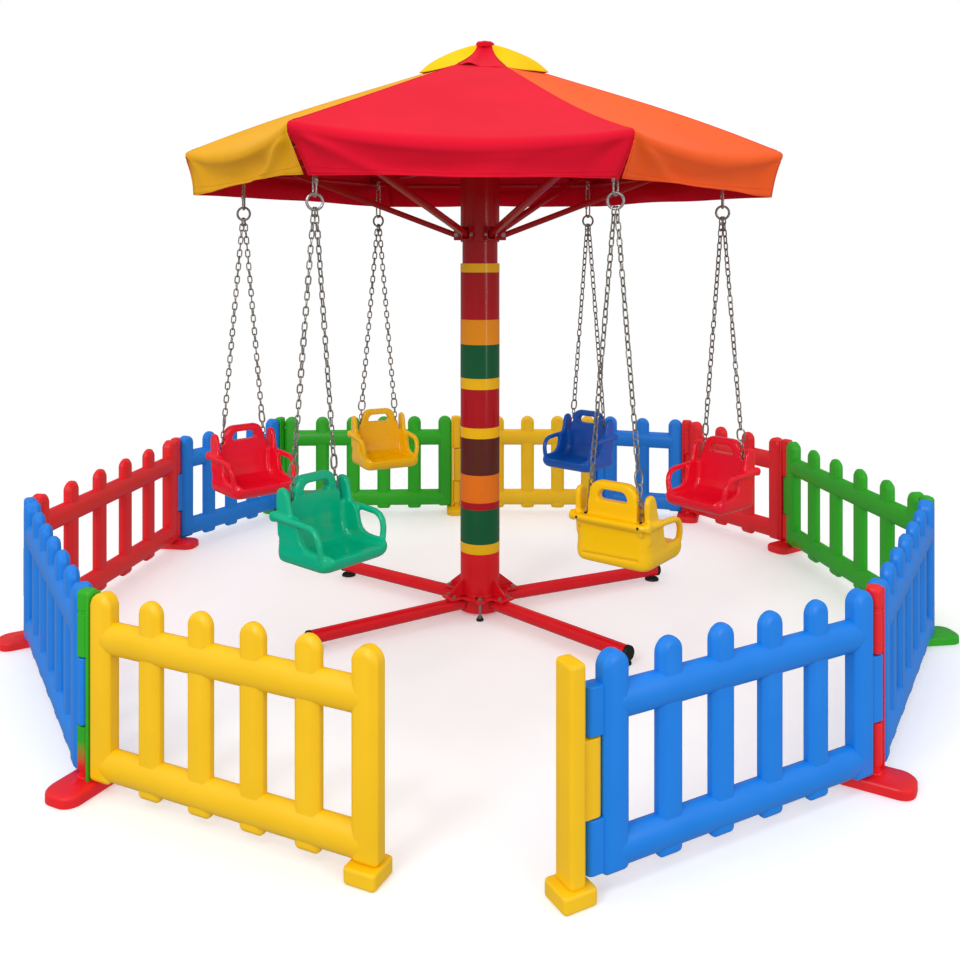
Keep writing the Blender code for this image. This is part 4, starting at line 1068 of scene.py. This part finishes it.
fence = {
    "top": 0.600, "picketWidth": 0.082, "picketThick": 0.044, "endThick": 0.060, "picketBottom": 0.025, "endBottom": 0.039,
    "railHeight": 0.098, "railThick": 0.0648, "rails": (0.092, 0.468), "noseOver": 0.021, "noseLength": 0.046, "clearance": 0.025,
    "postWidth": 0.010, "postThick": 0.052, "knuckle": 0.0225, "knuckleCorner": 0.0168, "levels": (0.052, 0.194, 0.398, 0.526),
    "footLength": 0.240, "footWidth": 0.125, "footCorner": 0.045,
    "endPostWidth": 0.048, "endPostDepth": 0.076, "endFoot": 0.100, "endFootHeight": 0.045, "endOffset": 0.061,
    "pins": ((-0.288, -1.890), (-1.189, -1.466), (-1.870, -0.376), (-1.683, 0.948), (-1.243, 1.632), (-0.145, 1.680),
             (0.753, 1.670), (1.275, 1.517), (1.687, 0.893), (1.871, -0.355), (1.198, -1.444), (0.279, -1.945)),
    "panels": ((6, "yellow"), (7, "blue"), (6, "red"), (5, "blue"), (6, "green"), (5, "yellow"), (3, "blue"), (4, "red"),
               (6, "green"), (7, "blue"), (6, "blue")),
    # head and upper barrel, lower barrel, foot
    "posts": (("green", "greenToRed", "red"), ("blue", "red", "red"), ("red", "red", "red"), ("green", "green", "green"),
              ("yellow", "yellow", "yellow"), ("blue", "blue", "blue"), ("red", "red", "red"), ("red", "red", "red"),
              ("green", "green", "green"), ("red", "red", "red")),
}
plasticNames = list(fencePlastic)


def picketShape(thick, bottom):
    # hollow plastic paling: a round head and wide rolled edges, so that its front is a long oval
    f = fence
    outlines = []
    # inset and depth of the rolled edge, from the front face round to the side
    roll = ((0.0180, 0.0), (0.0146, 0.0010), (0.0048, 0.0088), (0.0011, 0.0128), (0.0, 0.0172))
    for inset, lift, face in [(*step, -1) for step in roll] + [(*step, 1) for step in roll[::-1]]:
        depth = face * (thick / 2 - lift)
        half, low = f["picketWidth"] / 2 - inset, bottom + inset
        corner = max(0.002, 0.016 - inset)
        headMiddle = f["top"] - f["picketWidth"] / 2
        spots = [(half * math.cos(b), depth, headMiddle + half * math.sin(b)) for b in (math.pi * j / 18 for j in range(19))]
        for side, start in ((-1, math.pi), (1, 1.5 * math.pi)):
            spots += [(side * (half - corner) + corner * math.cos(start + math.pi / 2 * j / 4), depth,
                       low + corner + corner * math.sin(start + math.pi / 2 * j / 4)) for j in range(5)]
        outlines.append(spots)
    return stacked(outlines)


def railShape(start, end):
    # oval bar with a domed nose at each end
    f = fence
    nose = f["noseLength"]
    places, shares = [], []
    for k in range(9):
        a = math.pi / 2 * k / 8
        places.append(nose * (1 - math.cos(a)))
        shares.append(max(0.06, math.sin(a)))
    length = end - start
    places = places + [nose + (length - 2 * nose) * k / 4 for k in (1, 2, 3)] + [length - p for p in places[::-1]]
    shares = shares + [1.0] * 3 + shares[::-1]
    return sweep([(start + p, 0, 0) for p in places], f["railHeight"] / 2, 36, flatten=f["railThick"] / f["railHeight"], taper=shares)


def knuckleShape(low, high, reach, sign):
    # rounded block that turns on the pin at the origin and reaches towards +X or -X
    r = fence["knuckle"]
    span = (-r, reach) if sign > 0 else (-reach, r)
    return pillow((span[0], -r, low), (span[1], r, high), fence["knuckleCorner"], 0.0035, 3)


def footShape():
    # long low foot with an upright edge and a sloping shoulder; a latch and a clip hold the pin
    f = fence
    length, width, corner = f["footLength"] / 2, f["footWidth"] / 2, f["footCorner"]
    bm = bmesh.new()
    outlines = []
    for share, height in ((0.985, 0.0), (1.0, 0.002), (1.0, 0.023), (0.994, 0.027), (0.975, 0.0300), (0.93, 0.0340), (0.88, 0.0358)):
        inset = length * (1 - share)
        outlines.append(roundedOutline((-length * share, -width + inset * 0.7), (length * share, width - inset * 0.7),
                                       corner - inset * 0.4, height, 7))
    addMesh(bm, stacked(outlines))
    # across the fence the foot is turned, so here +X points out of the ring
    addMesh(bm, pillow((-0.024, -0.024, 0.030), (0.024, 0.024, 0.0425), 0.016, 0.003, 2))
    addMesh(bm, pillow((0.020, -0.012, 0.030), (0.058, 0.012, 0.0374), 0.004, 0.001, 2))
    addMesh(bm, pillow((0.030, -0.006, 0.034), (0.046, 0.006, 0.0384), 0.003, 0.001, 2))
    bmesh.ops.transform(bm, matrix=spun(90), verts=bm.verts)
    return asMesh(bm)


def makeFence():
    f = fence
    low, middle, high, top = f["levels"]
    half = f["picketWidth"] / 2
    slim, stout, post = [picketShape(*size) for size in ((f["picketThick"], f["picketBottom"]), (f["endThick"], f["endBottom"]),
                                                         (f["endThick"], f["endFootHeight"] - 0.002))]
    foot = footShape()
    finishes = [*fencePlastic.values(), fadedPlastic]
    pins = [Vector((*pin, 0)) for pin in f["pins"]]
    for number, (count, colour) in enumerate(f["panels"], start=1):
        start, end = pins[number - 1], pins[number]
        length = (end - start).length
        heading = math.degrees(math.atan2(end.y - start.y, end.x - start.x))
        along = Matrix.Translation(start) @ spun(heading)
        body = {1: "gate_left", 11: "gate_right"}.get(number, "stand")
        begin = -half if number == 1 else f["clearance"]
        finish = length - f["clearance"] - (0 if number == 11 else f["postWidth"] + 0.0003)
        pitch = (finish - begin - f["picketWidth"]) / (count - 1)
        places = [begin + half + pitch * k for k in range(count)]
        bm = bmesh.new()
        for k, place in enumerate(places):
            paling = slim if 0 < k < count - 1 else post if number == 1 and k == 0 else stout
            addMesh(bm, paling, shifted(place, 0, 0))
        for level in f["rails"]:
            addMesh(bm, railShape(places[0] - f["noseOver"], places[-1] + f["noseOver"]), shifted(0, 0, level))
        if number == 1:
            reach = f["endFoot"] / 2
            addMesh(bm, pillow((-half - 0.007, -reach, 0), (half + 0.007, reach, f["endFootHeight"]), 0.012, 0.008))
        else:
            addMesh(bm, knuckleShape(middle + 0.002, high - 0.002, f["clearance"] + 0.012, 1))
        if number == 11:
            for span in ((low, middle - 0.002), (high + 0.002, top)):
                addMesh(bm, knuckleShape(*span, f["clearance"] + 0.012, -1), shifted(length, 0, 0))
        finishPiece(f"fencePanel{number}", bm, fencePlastic[colour], body, [f"fence_panel_{number}"],
                    sharp=50, matrix=along)

        at = Matrix.Translation(end) @ spun(heading)
        bm = bmesh.new()
        if number == 11:
            wide, deep, centre = f["endPostWidth"] / 2, f["endPostDepth"] / 2, f["endOffset"]
            addMesh(bm, pillow((centre - wide, -deep, f["endFootHeight"] - 0.004), (centre + wide, deep, f["top"]), 0.012, 0.012))
            reach = f["endFoot"] / 2
            addMesh(bm, pillow((centre - reach, -reach, 0), (centre + reach, reach, f["endFootHeight"]), 0.012, 0.008))
            addMesh(bm, knuckleShape(middle + 0.002, high - 0.002, centre - wide + 0.005, 1))
            finishPiece("fencePost11", bm, fencePlastic["yellow"], body, ["fence_post_11"], matrix=at, sharp=50)
            continue
        tones = [[*plasticNames, "greenToRed"].index(tone) for tone in f["posts"][number - 1]]
        deep, r, rear = f["postThick"] / 2, f["knuckle"], -f["clearance"] - f["postWidth"]
        strip = addMesh(bm, roundedBox((rear, -deep, 0.034), (-f["clearance"], deep, f["top"] - 0.008), 0.003, 2))
        # the head stands on the upper barrel, with a groove between them
        cap = addMesh(bm, pillow((rear, -r, top + 0.006), (r, r, f["top"]), f["knuckleCorner"], 0.013, 4))
        slimmer = r - 0.0025
        neck = addMesh(bm, pillow((rear + 0.002, -slimmer, high + 0.02), (slimmer, slimmer, top + 0.020), f["knuckleCorner"] - 0.0025,
                                  0.001, 1))
        upper = addMesh(bm, knuckleShape(high + 0.002, top + 0.003, f["clearance"] + 0.002, -1))
        lower = addMesh(bm, knuckleShape(0.058, middle - 0.002, f["clearance"] + 0.002, -1))
        stem = addMesh(bm, lathe([(0, 0.030), (0.0185, 0.030), (0.0185, 0.060), (0, 0.060)], 28))
        for verts, tone in ((strip, 0), (cap, 0), (neck, 0), (upper, 0), (lower, 1), (stem, 2), (addMesh(bm, foot), 2)):
            paintFaces(bm, verts, tones[tone])
        finishPiece(f"fencePost{number}", bm, finishes, body, [f"fence_post_{number}"],
                    matrix=at, sharp=50)


makeFence()
print("fence ready")
